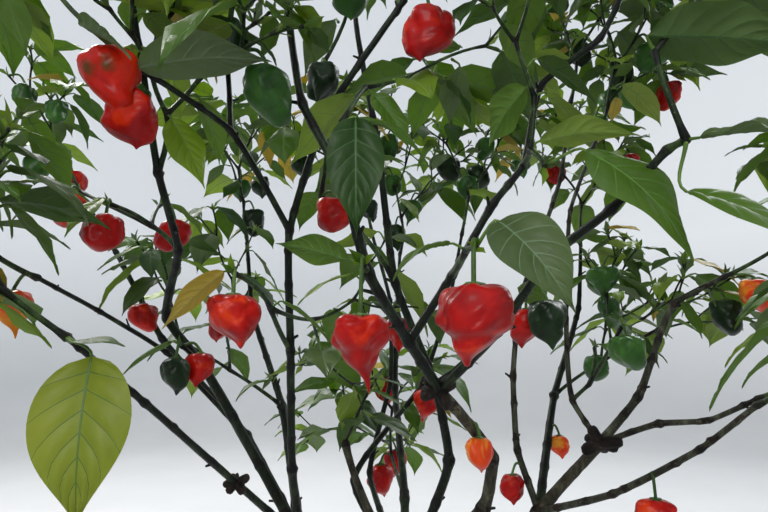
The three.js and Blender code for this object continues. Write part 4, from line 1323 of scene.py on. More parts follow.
# Twigs are bowed by about this share of their length, and swollen and darker at both nodes.
TWIG_BOW = 0.05
TWIG_BOW_SWAY = (0.4, 1.4)
TWIG_SWELL = 0.4
TWIG_END_SWELL = 1.15
TWIG_NODE_REACH = 3.52
TWIG_ROWS = 7
TWIG_SIDES = 7
TWIG_SLOTS = np.array([[1], [0], [0], [0], [0], [1], [1]])


def add_twig(piece, shoot):
    draw = shoot.draw("bark")
    bow = shoot.length * TWIG_BOW * draw.between(*TWIG_BOW_SWAY)
    aside = turned(side_of(shoot.heading), shoot.heading, draw.between(0, 360)) * bow
    t = np.linspace(0, 1, TWIG_ROWS)
    path = shoot.start + shoot.heading * shoot.length * t[:, None] + aside * (4 * t * (1 - t))[:, None]
    radii = shoot.radius + (shoot.thin - shoot.radius) * t
    node = TWIG_NODE_REACH / shoot.length
    swell = hump(t / node) + TWIG_END_SWELL * hump((1 - t) / node)
    tube(piece, path, radii * (1 + TWIG_SWELL * swell), TWIG_SIDES, TWIG_SLOTS)


# The young leaves at the tips of twigs.
YOUNG_LEAVES = 3
YOUNG_TURN = 137
YOUNG_SPREAD = (0.3, 1.1)
YOUNG_LENGTH = (9, 22)
YOUNG_WIDTH = 0.4

# Where the veins leave the rib: the first, how far on the last is, and how they crowd at the base. Then
# the rows from the last vein to the tip, and those of a blade that has no veins.
FIRST_VEIN = 0.1
VEIN_SPAN = 0.62
VEIN_CROWDING = 1.08
TIP_ROWS = 5
PLAIN_ROWS = 4
# The places of a cell's slots: the top of a blade, its underside and its veins.
TOP, UNDER, VEIN = 0, 1, 2
# The outline: half the width of the blade's foot and tip, how soon it narrows from its foot, how far
# toward the base it is widest, and how pointed it is at its base and its tip.
BASE_HALF = 0.9
TIP_HALF = 0.12
BASE_POWER = 30
OUTLINE_SKEW = 0.72
OUTLINE_POINT = (0.85, 0.95)
# The limits of a blade's bend, fold and twist in degrees, and of the waves of its edge, in this order:
# bend, fold, wave, twist. A wave has this many beats along the blade.
BLADE_LIMITS = [(18, 62), (6, 26), (0.03, 0.13), (-16, 16)]
WAVE_BEATS = (1.2, 2.6)
WAVE_HEIGHT = 1.6
# A midrib's slope, as a share of the bend: RIB_RISE at its foot, and less with this power on its way.
RIB_STEPS = 41
RIB_RISE = 0.45
RIB_POWER = 1.25
# Half the widths of rib and veins, how much they narrow, how far veins slant forward, and how thick
# the blade, its rib and its veins are.
RIB_HALF = 0.85
RIB_TAPER = 0.75
RIB_MOST = 0.3
RIB_GROOVE = 0.3
RIB_THICK = 0.75
VEIN_HALF = 0.5
VEIN_TAPER = 0.7
VEIN_SLANT = 0.29
VEIN_CURVE = 1.1
VEIN_THICK = 0.3
BLADE_THICK = 0.4
# How much flatter the fold is at the tip, how far the edge droops, and how the blade puffs up between
# its veins.
FOLD_EASE = 0.35
EDGE_DROOP = 0.16
PUCKER = 0.014
PUCKER_REACH = 1.02


class Pattern:
    """The grid that blades are cut from: its rows run along the veins and its columns along the rib."""

    def __init__(self, veins, between, columns):
        steps = (np.arange(veins) / max(veins - 1, 1)) ** VEIN_CROWDING
        rows = [(0, 0, 0)]
        last = 0.0
        for place in FIRST_VEIN + VEIN_SPAN * steps:
            rows += [(last + (place - last) * k / (between + 1), 0, 1) for k in range(1, between + 1)]
            rows += [(place, -1, 0), (place, 1, 0)]
            last = place
        left = TIP_ROWS if veins else PLAIN_ROWS
        rows += [(last + (1 - last) * k / left, 0, 1 if k < left else 0) for k in range(1, left + 1)]
        self.place, self.edge, self.puff = (np.array(column, float)[:, None] for column in zip(*rows))
        half = len(columns)
        self.share = np.array([*(-share for share in reversed(columns)), 0, 0, *columns])[None]
        self.rib = np.zeros_like(self.share)
        self.rib[0, half:half + 2] = -1, 1
        self.rows, self.columns = len(rows), self.share.shape[1]
        self.faces, self.slots = self.cut()

    def cut(self):
        """The triangles of a top and an under sheet that share their rim, with slots top, under, vein."""
        rows, columns = self.rows, self.columns
        top = np.arange(rows * columns).reshape(rows, columns)
        under = top.copy()
        under[1:-1, 1:-1] = rows * columns + np.arange((rows - 2) * (columns - 2)).reshape(rows - 2, -1)
        vein_row = (self.edge[:-1] == -1) & (self.edge[1:] == 1)
        vein = (vein_row | ((self.rib[:, :-1] == -1) & (self.rib[:, 1:] == 1))).ravel()
        # Two corner cells are cut the other way, or the sheets would share a triangle of the rim.
        other_way = np.zeros((rows - 1, columns - 1), bool)
        other_way[0, -1] = other_way[-1, 0] = True
        other_way = other_way.ravel()
        faces, slots = [], []
        for grid, flip, slot in ((top, False, TOP), (under, True, UNDER)):
            a, b = grid[:-1, :-1].ravel(), grid[1:, :-1].ravel()
            c, d = grid[1:, 1:].ravel(), grid[:-1, 1:].ravel()
            for corners in ((a, b, np.where(other_way, d, c)), (np.where(other_way, b, a), c, d)):
                faces.append(np.stack(corners[::-1] if flip else corners, 1))
                slots.append(np.where(vein, VEIN, slot))
        return np.vstack(faces), np.concatenate(slots)


# The grids of blades: of the listed ones, of the rule's large and small ones, and of the young ones.
# Edges that are sharper than SHARP_RIM, in degrees, are shaded as such.
HERO_PATTERN = Pattern(6, 3, (0.16, 0.34, 0.55, 0.78, 1))
PATTERN = Pattern(4, 1, (0.5, 1))
SMALL_PATTERN = Pattern(2, 2, (0.5, 1))
YOUNG_PATTERN = Pattern(0, 0, (1,))
SMALL_LEAF = 50
SHARP_RIM = 70


def outline(t):
    """Half the width of a pointed oval blade at places along it, as a share of the widest."""
    base, tip = OUTLINE_POINT
    return np.maximum(np.sin(np.pi * t**OUTLINE_SKEW), 0) ** (base + tip * t**2)


def midrib(bend, length):
    """Points and slopes of a midrib that bends down, with its ends where the blade's must be."""
    t = np.linspace(0, 1, RIB_STEPS)
    slope = np.radians(bend) * (RIB_RISE - t**RIB_POWER)
    middle = slope[:-1] / 2 + slope[1:] / 2
    x, z = (np.append(0, np.cumsum(part(middle))) / (RIB_STEPS - 1) for part in (np.cos, np.sin))
    turn = -math.atan(BLADE_DIP) - math.atan2(z[-1], x[-1])
    scale = length * math.hypot(1, BLADE_DIP) / math.hypot(x[-1], z[-1])
    c, s = math.cos(turn), math.sin(turn)
    return t, (x * c - z * s) * scale, (x * s + z * c) * scale, slope + turn


def add_blade(piece, leaf, pattern, draw):
    """A leaf's blade: bent along its midrib, folded along it, wavy at its edge and puffed up between
    its veins."""
    bend, fold, wave, twist = (draw.between(*limits) for limits in BLADE_LIMITS)
    share, rib = np.abs(pattern.share), pattern.rib
    slant = VEIN_SLANT * np.sin(np.pi * pattern.place) * share**VEIN_CURVE
    vein = pattern.edge * VEIN_HALF / leaf.length * (1 - VEIN_TAPER * share)
    t = np.clip(pattern.place + slant + vein, 0, 1)
    half = TIP_HALF + leaf.width / 2 * outline(t) + (BASE_HALF - TIP_HALF) * (1 - t) ** BASE_POWER
    rib_half = np.minimum(RIB_HALF * (1 - RIB_TAPER * t) * leaf.length / LEAF_LENGTH, RIB_MOST * half)
    y = np.where(rib != 0, rib * rib_half, pattern.share * half)
    fold = np.radians(fold) * (1 - FOLD_EASE * t)
    phases = draw.between(0, TURN), draw.between(0, TURN)
    beats = draw.between(*WAVE_BEATS)
    waving = np.sin(2 * np.pi * beats * t + np.where(pattern.share + rib < 0, *phases))
    rise = np.abs(y) * np.sin(fold) - EDGE_DROOP * half * share**3
    rise = rise + wave * waving * share**2 * half * WAVE_HEIGHT
    puffed = pattern.puff * np.sin(np.pi * np.clip(share * PUCKER_REACH, 0, 1))
    rise = rise + PUCKER * leaf.length * puffed
    rise = rise - np.where(rib != 0, RIB_GROOVE * (1 - t), 0)
    thick = BLADE_THICK * (1 - share**4) + np.where(rib != 0, RIB_THICK * (1 - VEIN_TAPER * t), 0)
    thick = thick + np.where(pattern.edge != 0, VEIN_THICK * (1 - share), 0)
    across = y * np.cos(fold)
    steps, *lines = midrib(bend, leaf.length)
    x, z, lean = (np.interp(t, steps, line) for line in lines)
    twist = np.radians(twist) * t

    def placed(up):
        level = across * np.cos(twist) - up * np.sin(twist)
        up = across * np.sin(twist) + up * np.cos(twist)
        spots = (x - np.sin(lean) * up)[..., None] * leaf.forward + level[..., None] * leaf.across
        return leaf.start + spots + (z + np.cos(lean) * up)[..., None] * leaf.above

    top, under = placed(rise), placed(rise - thick)[1:-1, 1:-1]
    piece.add(np.vstack([top.reshape(-1, 3), under.reshape(-1, 3)]), pattern.faces, pattern.slots)


# A leaf's stalk: the rows and sides of its mesh, how hard it turns into the blade, its radii at shares
# of its length, and how much these grow with the leaf.
LEAST_STALK_ROWS = 4
STALK_STEP = 9
STALK_SIDES = 5
STALK_ARRIVAL = 0.8
STALK_RADII = (0, 0.25, 1), (1.7, 1.2, 0.9)
STALK_GROWTH = 0.2


def add_leaf_stalk(piece, leaf):
    reach = np.linalg.norm(leaf.start - leaf.node)
    t = np.linspace(0, 1, LEAST_STALK_ROWS + int(reach / STALK_STEP))
    leaving, arriving = leaf.stalk * reach, leaf.forward * reach * STALK_ARRIVAL
    path = between_points(t[:, None], leaf.node, leaf.start, leaving, arriving)
    girth = 1 - STALK_GROWTH + STALK_GROWTH * leaf.length / LEAF_LENGTH
    tube(piece, path, np.interp(t, *STALK_RADII) * girth, STALK_SIDES)


# The profiles of pods as (out, down) shares of their width and length.
POD_FORMS = {
    "lantern": [
        (0.03, 0), (0.2, -0.01), (0.36, 0.03), (0.46, 0.12), (0.5, 0.26), (0.5, 0.42), (0.46, 0.55),
        (0.4, 0.65), (0.31, 0.73), (0.2, 0.81), (0.11, 0.88), (0.06, 0.95), (0.015, 1),
    ],
    "bell": [
        (0.03, 0), (0.22, -0.01), (0.38, 0.03), (0.47, 0.13), (0.51, 0.28), (0.5, 0.44), (0.46, 0.54),
        (0.38, 0.6), (0.31, 0.65), (0.27, 0.73), (0.18, 0.82), (0.08, 0.91), (0.03, 1),
    ],
    "tailed": [
        (0.03, 0), (0.25, -0.01), (0.42, 0.02), (0.5, 0.1), (0.51, 0.22), (0.49, 0.33), (0.42, 0.4),
        (0.34, 0.46), (0.31, 0.54), (0.24, 0.62), (0.13, 0.71), (0.07, 0.8), (0.04, 0.9), (0.012, 1),
    ],
    "plump": [
        (0.03, 0), (0.18, 0), (0.32, 0.03), (0.43, 0.12), (0.5, 0.27), (0.51, 0.45), (0.47, 0.6),
        (0.38, 0.72), (0.25, 0.82), (0.12, 0.89), (0.05, 0.95), (0.015, 1),
    ],
    "squat": [
        (0.03, 0), (0.2, 0), (0.36, 0.02), (0.46, 0.1), (0.51, 0.26), (0.5, 0.46), (0.46, 0.64),
        (0.38, 0.79), (0.25, 0.91), (0.08, 1),
    ],
    "pear": [
        (0.03, 0), (0.2, 0), (0.36, 0.05), (0.46, 0.15), (0.5, 0.29), (0.48, 0.42), (0.42, 0.54),
        (0.35, 0.66), (0.29, 0.78), (0.21, 0.89), (0.11, 0.96), (0.03, 1),
    ],
}
# The grid of a pod, round it and along it: of a listed one, and of one of the rule's.
POD_SIZES = {True: (52, 38), False: (36, 26)}
# Waves, as how many, how many lobes round the pod and how long: of the undercut, the puffed skin, the
# folds and the wrinkles, with how strong each is. Folds lie where their wave is near 0.
SKIRT_WAVES = 3, (1, 3), (3, 8)
PUFF_WAVES = 5, (1, 4), (0.5, 1.6)
FOLD_WAVES = 4, (1, 3), (0.5, 1.8)
WRINKLE_WAVES = 9, (3, 9), (0.16, 0.5)
POD_SKIRT = 0.06
POD_PUFF = 0.05
POD_WRINKLE = 0.016
FOLD_DEPTH = 0.07
FOLD_WIDTH = 0.16
# Lobes are parted by creases: how often there are four, how far a crease strays, and its size. They
# die away in the lower part of a pod, and sink into its crown.
FOUR_LOBES = 0.45
CREASE_SWAY = 0.25
CREASE_WINDING = (0.35, 5)
CREASE_DEPTH = (0.05, 0.13)
CREASE_WIDTH = 0.26
LOBED_PART = (0.45, 0.85)
CROWN_PART = (-0.05, 0.3)
CREASE_SINK = 0.3
RELIEF_SINK = 0.35
SMOOTH_NECK = 0.3
LOWER_RELIEF = 0.4
POD_SQUASH = 0.07
POD_SWELL = 1.02
# The hook of the tail, where it bends, and how far a pod may lean, in degrees.
POD_HOOK = 0.26
HOOKED_PART = (0.45, 0.95)
HOOK_POWER = 1.5
HOOK_SWAY = (0.4, 1)
POD_LEAN = 7
POD_END = 0.3


def add_pod(piece, pod, draw, hero):
    """A hollow wrinkled pod: puffed lobes parted by soft folds, an uneven undercut and a hooked tail."""
    count, rows = POD_SIZES[hero]
    profile = catmull(POD_FORMS[pod.form], rows)
    down = profile[:, 1:]
    around = -ring_angles(count)[None]
    share = np.linspace(0, 1, rows)[:, None]
    skirt = POD_SKIRT * waves(draw, around, share, *SKIRT_WAVES) * np.sin(np.pi * share)
    out = np.interp(share + skirt, share[:, 0], profile[:, 0])
    upper = 1 - smooth_step(*LOBED_PART, down)
    lobes = 4 if draw.random() < FOUR_LOBES else 3
    winding, beats = CREASE_WINDING
    creases = 0
    for k in range(lobes):
        turn = 2 * math.pi * (k + draw.between(-CREASE_SWAY, CREASE_SWAY)) / lobes
        off = (around - turn + np.pi + winding * np.sin(beats * down + k)) % (2 * np.pi) - np.pi
        creases = creases + draw.between(*CREASE_DEPTH) * hump(off / CREASE_WIDTH)
    puff = POD_PUFF * waves(draw, around, down, *PUFF_WAVES)
    folds = FOLD_DEPTH * hump(waves(draw, around, down, *FOLD_WAVES) / FOLD_WIDTH)
    wrinkle = POD_WRINKLE * waves(draw, around, down, *WRINKLE_WAVES)
    neck = np.minimum(1, out / SMOOTH_NECK)
    relief = (puff + wrinkle - folds) * neck * (LOWER_RELIEF + (1 - LOWER_RELIEF) * upper)
    squash = POD_SQUASH * np.cos(2 * around - draw.between(0, TURN))
    radius = out * (POD_SWELL - creases * upper + relief + squash) * pod.width
    crown = 1 - smooth_step(*CROWN_PART, down)
    sink = (creases * CREASE_SINK - relief * RELIEF_SINK) * crown * neck
    hook = POD_HOOK * pod.width * smooth_step(*HOOKED_PART, down) ** HOOK_POWER * draw.between(*HOOK_SWAY)
    aside = draw.between(0, 360)
    away = toward(aside if pod.hook is None else pod.hook, 0)
    tilt = toward(draw.between(0, 360), 0) * math.tan(math.radians(POD_LEAN * draw.random()))
    drop = (down * pod.length + sink * pod.width)[..., None]
    rings = pod.top + level_spokes(around) * radius[..., None] + away * hook[..., None] - (UP - tilt) * drop
    piece.add_rings(rings, rings[0].mean(0), rings[-1].mean(0) - UP * POD_END)


# A pod's stalk: its shape on the way to the pod, how it thickens at its foot and toward the pod, and
# the star of the calyx as rings (width, rise), in shares of the pod's width.
POD_STALK_ROWS, POD_STALK_SIDES = 16, 9
STALK_CREST = 0.6
STALK_END = 0.01
STALK_FOOT = (0.25, 0.1)
STALK_FLARE = (0.9, 0.7)
CALYX_POINTS = 5
CALYX_HALF = (0.15, 0.035)
CALYX_SIDES = 20
CALYX_RINGS = np.array([(0.4, 0.055), (0.75, 0.045), (1, 0.012), (0.9, -0.01)])
CALYX_ENDS = (0.06, -0.012)


def add_pod_stalk(piece, pod):
    """A pod's curved stalk, which flares into the small star of its calyx."""
    crest = pod.node + pod.direction * pod.reach * STALK_CREST + UP * PEDICEL_RISE
    neck = pod.top + UP * POD_NECK * pod.width
    path = catmull([pod.node, crest, neck, pod.top + UP * STALK_END * pod.width], POD_STALK_ROWS)
    t = np.linspace(0, 1, len(path))
    (swell, reach), (flare, flare_from) = STALK_FOOT, STALK_FLARE
    radii = PEDICEL_RADIUS * (1 + swell * hump(t / reach) + flare * smooth_step(flare_from, 1, t))
    tube(piece, path, radii, POD_STALK_SIDES)
    around = -ring_angles(CALYX_SIDES)
    half, points = CALYX_HALF
    star = level_spokes(around) * (half + points * np.cos(CALYX_POINTS * around))[:, None]
    rings = np.array([pod.top + (star * out + UP * rise) * pod.width for out, rise in CALYX_RINGS])
    piece.add_rings(rings, *(pod.top + UP * rise * pod.width for rise in CALYX_ENDS))


def colour(code):
    """The linear colour of a six-digit code."""
    parts = [int(code[i:i + 2], 16) / 255 for i in (0, 2, 4)]
    return (*(p / 12.92 if p <= 0.04045 else ((p + 0.055) / 1.055) ** 2.4 for p in parts), 1.0)


class Shader:
    """A material under way: nodes are added with their inputs, which are values or other sockets."""

    def __init__(self, name):
        self.material = bpy.data.materials.new(name)
        self.material.use_nodes = True
        self.tree = self.material.node_tree
        self.tree.nodes.clear()
        self.spot = self.node("ShaderNodeTexCoord").outputs["Object"]

    def node(self, kind, inputs=None, **settings):
        made = self.tree.nodes.new(kind)
        for name, value in settings.items():
            setattr(made, name, value)
        for name, value in (inputs or {}).items():
            if isinstance(value, bpy.types.NodeSocket):
                self.tree.links.new(value, made.inputs[name])
            else:
                made.inputs[name].default_value = value
        return made

    def stretched(self, share):
        """The place, with its height shrunk to a share, so that what is drawn by it runs upward."""
        return self.node("ShaderNodeMapping", {"Vector": self.spot, "Scale": (1, 1, share)}).outputs["Vector"]

    def noise(self, scale, detail=3, roughness=0.5, distortion=0, spot=None):
        """A noise with scale features to the metre."""
        inputs = {
            "Vector": spot or self.spot, "Scale": scale, "Detail": detail, "Roughness": roughness,
            "Distortion": distortion,
        }
        return self.node("ShaderNodeTexNoise", inputs).outputs["Fac"]

    def ramp(self, value, places, shades):
        """A colour ramp with these shades at these places."""
        made = self.node("ShaderNodeValToRGB", {"Fac": value})
        points = made.color_ramp.elements
        for point, k in zip(points, (0, -1)):
            point.position, point.color = places[k], shades[k]
        for place, shade in zip(places[1:-1], shades[1:-1]):
            points.new(place).color = shade
        return made.outputs["Color"]

    def share(self, value, none, full, most=1):
        """A share that rises from 0 where a value is none to most where it is full."""
        inputs = {"Value": value, "From Min": none, "From Max": full, "To Min": 0, "To Max": most}
        return self.node("ShaderNodeMapRange", inputs).outputs["Result"]

    def mix(self, share, first, second):
        made = self.node("ShaderNodeMix", data_type="RGBA")
        for name, value in (("Factor", share), ("A", first), ("B", second)):
            socket = [s for s in made.inputs if s.name == name and s.enabled][0]
            if isinstance(value, bpy.types.NodeSocket):
                self.tree.links.new(value, socket)
            else:
                socket.default_value = value
        return [s for s in made.outputs if s.enabled][0]

    def bump(self, height, strength, depth):
        inputs = {"Height": height, "Strength": strength, "Distance": depth * MM}
        return self.node("ShaderNodeBump", inputs).outputs["Normal"]

    def surface(self, shade, roughness, normal, **inputs):
        named = {name.replace("_", " "): value for name, value in inputs.items()}
        inputs = {"Base Color": shade, "Roughness": roughness, "Normal": normal, **named}
        return self.node("ShaderNodeBsdfPrincipled", inputs).outputs["BSDF"]

    def finish(self, surface):
        output = self.node("ShaderNodeOutputMaterial", {"Surface": surface})
        output.is_active_output = True
        return self.material


# Below, a noise is (features to the metre, detail, roughness, distortion). The places of a ramp's
# shades, and the values between which a share rises, follow the noise that they are for.
BARK_STREAKS = (95, 5, 0.62, 0.5), (0.34, 0.52, 0.7)
BARK_PATCHES = (28, 3, 0.6), (0.62, 0.42, 0.55)
BARK_PORES = (520, 1, 0.4), (0.66, 0.74, 0.7)
BARK_CRACKS = (620, 5, 0.65, 0.3), 0.7
# How wide the streaks and cracks of bark are beside their length.
STREAK = 0.2
BARK_SHINE = 0.16
LEAF_SHADES = (9, 2, 0.5), (0.32, 0.5, 0.7)
LEAF_MOTTLE = (150, 4, 0.65), (0.45, 0.65)
MOTTLE_MOST = 0.32
LEAF_NET = (520, 3, 0.6), (0.35, 0.25)
LEAF_SHINE = 0.35
LEAF_GLOW = 0.46
TOP_ROUGHNESS, UNDER_ROUGHNESS, VEIN_ROUGHNESS = 0.42, 0.62, 0.5
POD_SHADES = (34, 3, 0.55, 0.4), (0.3, 0.5, 0.72)
POD_BLOTCHES = (27, 3, 0.6, 0.8), 0.09
POD_WAX = (210, 4, 0.6), (0.4, 0.6)
POD_ROUGHNESS = 0.36
POD_SHINE = {"Coat_Weight": 0.1, "Coat_Roughness": 0.07, "Specular_IOR_Level": 0.14}
# A pod's dark spots: their shade, how ragged they are, and from where, in metres, they fade in to where
# they are darkest, and how dark that is.
SPOT_SHADE = "31350f"
SPOT_RAGS = (160, 3, 0.6), 0.008
SPOT_EDGE = (0.0125, 0.0065, 0.88)


def bark_material(name, dark, main, pale, roughness, depth):
    """Bark with pale streaks along it, dark flecks, pale pores and fine cracks."""
    shader = Shader(name)
    dark, main, pale = colour(dark), colour(main), colour(pale)
    along = shader.stretched(STREAK)
    (streaks, places), (cracks, strength) = BARK_STREAKS, BARK_CRACKS
    shade = shader.ramp(shader.noise(*streaks, spot=along), places, (dark, main, pale))
    for (noise, limits), over in ((BARK_PATCHES, dark), (BARK_PORES, pale)):
        shade = shader.mix(shader.share(shader.noise(*noise), *limits), shade, over)
    normal = shader.bump(shader.noise(*cracks, spot=along), strength, depth)
    return shader.finish(shader.surface(shade, roughness, normal, Specular_IOR_Level=BARK_SHINE))


def leaf_material(name, dark, main, pale, roughness, glow=None):
    """Leaf tissue: mottled, finely netted, and lit through where glow gives the colour of that light."""
    shader = Shader(name)
    (broad, places), (mottle, limits), (net, relief) = LEAF_SHADES, LEAF_MOTTLE, LEAF_NET
    shade = shader.ramp(shader.noise(*broad), places, (colour(dark), colour(main), colour(pale)))
    mottled = shader.noise(*mottle)
    speckled = shader.mix(MOTTLE_MOST, shade, colour(pale))
    shade = shader.mix(shader.share(mottled, *limits), shade, speckled)
    normal = shader.bump(shader.noise(*net), *relief)
    surface = shader.surface(shade, roughness, normal, Specular_IOR_Level=LEAF_SHINE)
    if glow:
        through = shader.node("ShaderNodeBsdfTranslucent", {"Color": colour(glow), "Normal": normal})
        inputs = {0: LEAF_GLOW, 1: surface, 2: through.outputs["BSDF"]}
        surface = shader.node("ShaderNodeMixShader", inputs).outputs["Shader"]
    return shader.finish(surface)


def pod_material(name, skin, blotch, few, spots=()):
    """The waxy skin of a pod: one ripeness with blotches of the next, few of them, and dark spots."""
    shader = Shader(name)
    (broad, places), (blotches, edge), (wax, relief) = POD_SHADES, POD_BLOTCHES, POD_WAX
    broad = shader.noise(*broad)
    shade, ripe = (shader.ramp(broad, places, [colour(code) for code in codes]) for codes in (skin, blotch))
    shade = shader.mix(shader.share(shader.noise(*blotches), few, few + edge), shade, ripe)
    rags, strength = SPOT_RAGS
    ragged = shader.noise(*rags)
    for place in spots:
        inputs = {0: shader.spot, 1: tuple(place * MM)}
        away = shader.node("ShaderNodeVectorMath", inputs, operation="DISTANCE").outputs["Value"]
        away = shader.node("ShaderNodeMath", {0: ragged, 1: strength, 2: away}, operation="MULTIPLY_ADD")
        near = shader.share(away.outputs["Value"], *SPOT_EDGE)
        shade = shader.mix(near, shade, colour(SPOT_SHADE))
    normal = shader.bump(shader.noise(*wax), *relief)
    return shader.finish(shader.surface(shade, POD_ROUGHNESS, normal, **POD_SHINE))


# Each bark: its dark, main and pale shades, its roughness and the depth of its cracks.
BARKS = {
    "bark": ("191713", "39362a", "66654f", 0.62, 0.9),
    "bark_node": ("0d0a09", "1d1613", "39302a", 0.7, 1.1),
    "green_bark": ("080d07", "151f12", "34432a", 0.42, 0.5),
    "green_bark_node": ("070807", "110f10", "252023", 0.5, 0.7),
    "brown_bark": ("191a12", "35362a", "5f6350", 0.5, 0.7),
    "brown_bark_node": ("0e0b09", "221a15", "3f342b", 0.6, 1),
    "twig": ("152012", "2c401f", "566a38", 0.45, 0.25),
    "twig_node": ("0b0f0a", "1b1f16", "3a3d28", 0.5, 0.4),
    "leaf_stalk": ("3f5a20", "587434", "7d9850", 0.5, 0.1),
    "pod_stalk": ("2c451d", "47632d", "6f8b4a", 0.42, 0.15),
}


def barks(*names):
    return [bark_material(name, *BARKS[name]) for name in names]


# Each tint of leaf: the dark, main and pale shades of its top, the same of its underside, the light
# that comes through, and its veins.
TINTS = {
    "fresh": (("566f1c", "6d8828", "889f34"), ("768c3e", "889c4a", "9aaa58"), "a3bb24", "71903a"),
    # lit: a leaf with light behind it, painted backlight: its tissue is painted paler and yellower, and its
    # veins painted darker, as the light through the blade shows them.
    "lit": (("6a7a24", "80902e", "98a23c"), ("6f7d32", "868f3e", "9ba04e"), "b4b82c", "48611c"),
    "mid": (("385518", "4a6921", "60802c"), ("4e6a2a", "5e7a35", "708a43"), "8aa81f", "50762f"),
    "deep": (("223e18", "2f4e1e", "416026"), ("3f5829", "4e6835", "5e7742"), "6f8f20", "345422"),
    "dull": (("425434", "53663f", "66784c"), ("5a6c48", "6a7c56", "7b8c64"), "819a38", "5a714e"),
    "turning": (("8b7d22", "a8952f", "b9a83e"), ("9d9148", "b1a355", "beb163"), "c9b52c", "a0933f"),
}
# How often the rule gives each tint.
TINT_WEIGHTS = {"fresh": 5, "mid": 8, "deep": 4, "dull": 3, "turning": 1}
YOUNG_WEIGHTS = {"fresh": 3, "mid": 2, "dull": 4}
POD_WEIGHTS = {"red": 7, "orange": 3, "green": 2, "dark": 1}
# The pods of the right-hand boughs and the highest ones ripen later.
LATE_POD_WEIGHTS = {"red": 1, "green": 6, "dark": 3}
LATE_SIDE = 150
LATE_HEIGHT = 860
POD_FORM_WEIGHTS = {"lantern": 3, "bell": 2, "tailed": 2, "plump": 3, "squat": 4}
# Each ripeness of pod: the shades of its skin and those of its blotches.
RIPENESS = {
    "red": (("720407", "990908", "b4150a"), ("9c1007", "bd2509", "d0390d")),
    "orange": (("b3230a", "cc3a0c", "dc5416"), ("b8560f", "cc7a1d", "dd9a35")),
    "green": (("1f3d16", "2f5520", "44702c"), ("17300f", "234318", "345a22")),
    "dark": (("0b1a0d", "13260f", "1e3815"), ("09140a", "0f1e0d", "182c12")),
    "blotched": (("8c0b07", "b31808", "cb2d0c"), ("a31a07", "c4340b", "d64a12")),
}
BLOTCH_LEVEL = {"red": 0.55, "orange": 0.52, "green": 0.5, "dark": 0.5, "blotched": 0.58}
# Where the two dark spots of each blotched pod lie, from the top of the pod.
SPOTTED_LOOK = "blotched"
POD_SPOTS = np.array([[-9.0, -15.0, -21.0], [6.0, -17.0, -18.0]])

# The camera of the photograph: where it stands, how far it looks up, and its focal length in pixels
# of a picture this wide.
CAMERA_PLACE = (-18, -620, 660)
CAMERA_PITCH = 9.2
FOCAL_PIXELS = 555
PICTURE_WIDTH = 768
SENSOR = 36
NEAREST_SEEN = 10

# The studio: a floor that sweeps up into a wall, and how far, in metres, it is under the plant's foot.
# The floor is painted darker than the wall, a painted shade that offsets the stronger light falling on the
# floor; the wall's shade is reached at WALL_SHADE_HEIGHT, also in metres.
FLOOR_RADIUS = 3600
WALL_RADIUS = 5600
WALL_HEIGHT = 5200
SWEEP_STEPS = 12
STUDIO_SIDES = 96
FLOOR_DROP = 0.0003
# The floor's shades are painted darker than the wall's, as painted shade, because more light falls on the
# floor than on the wall.
FLOOR_PAINTED_SHADES = (0.42, 0.425, 0.43, 1), (0.44, 0.445, 0.45, 1)
FLOOR_DUST = (3, 2), (0.3, 0.7)
FLOOR_BUMP = (0.05, 1)
WALL_SHADE = (0.86, 0.87, 0.88, 1)
WALL_SHADE_HEIGHT = WALL_HEIGHT * MM / 3
STUDIO_ROUGHNESS = 0.9
SKY_SHADE = (0.9, 0.95, 1.0, 1)
SKY_STRENGTH = 0.95
# Each light: its name, place, aim, width, power and colour.
LIGHTS = [
    ("sky_left", (-1900, 1500, 2900), (0, 0, 800), 1500, 135, (1, 0.98, 0.95)),
    ("sky_right", (1700, 1900, 2600), (0, 0, 700), 1800, 60, (0.95, 0.98, 1)),
    ("front", (-600, -2300, 1900), (0, 0, 750), 1600, 30, (1, 0.99, 0.97)),
]


def add_camera():
    data = bpy.data.cameras.new("camera")
    data.sensor_width = SENSOR
    data.lens = FOCAL_PIXELS * SENSOR / PICTURE_WIDTH
    data.clip_start = NEAREST_SEEN * MM
    camera = linked("camera", data)
    camera.location = Vector(CAMERA_PLACE) * MM
    camera.rotation_euler = (math.radians(90 + CAMERA_PITCH), 0, 0)
    bpy.context.scene.camera = camera


def add_light(name, place, aim, size, power, shade):
    data = bpy.data.lights.new(name, "AREA")
    data.shape = "DISK"
    data.size = size * MM
    data.energy = power
    data.color = shade
    light = linked(name, data)
    light.location = Vector(place) * MM
    light.rotation_euler = (Vector(aim) - Vector(place)).to_track_quat("-Z", "Y").to_euler()


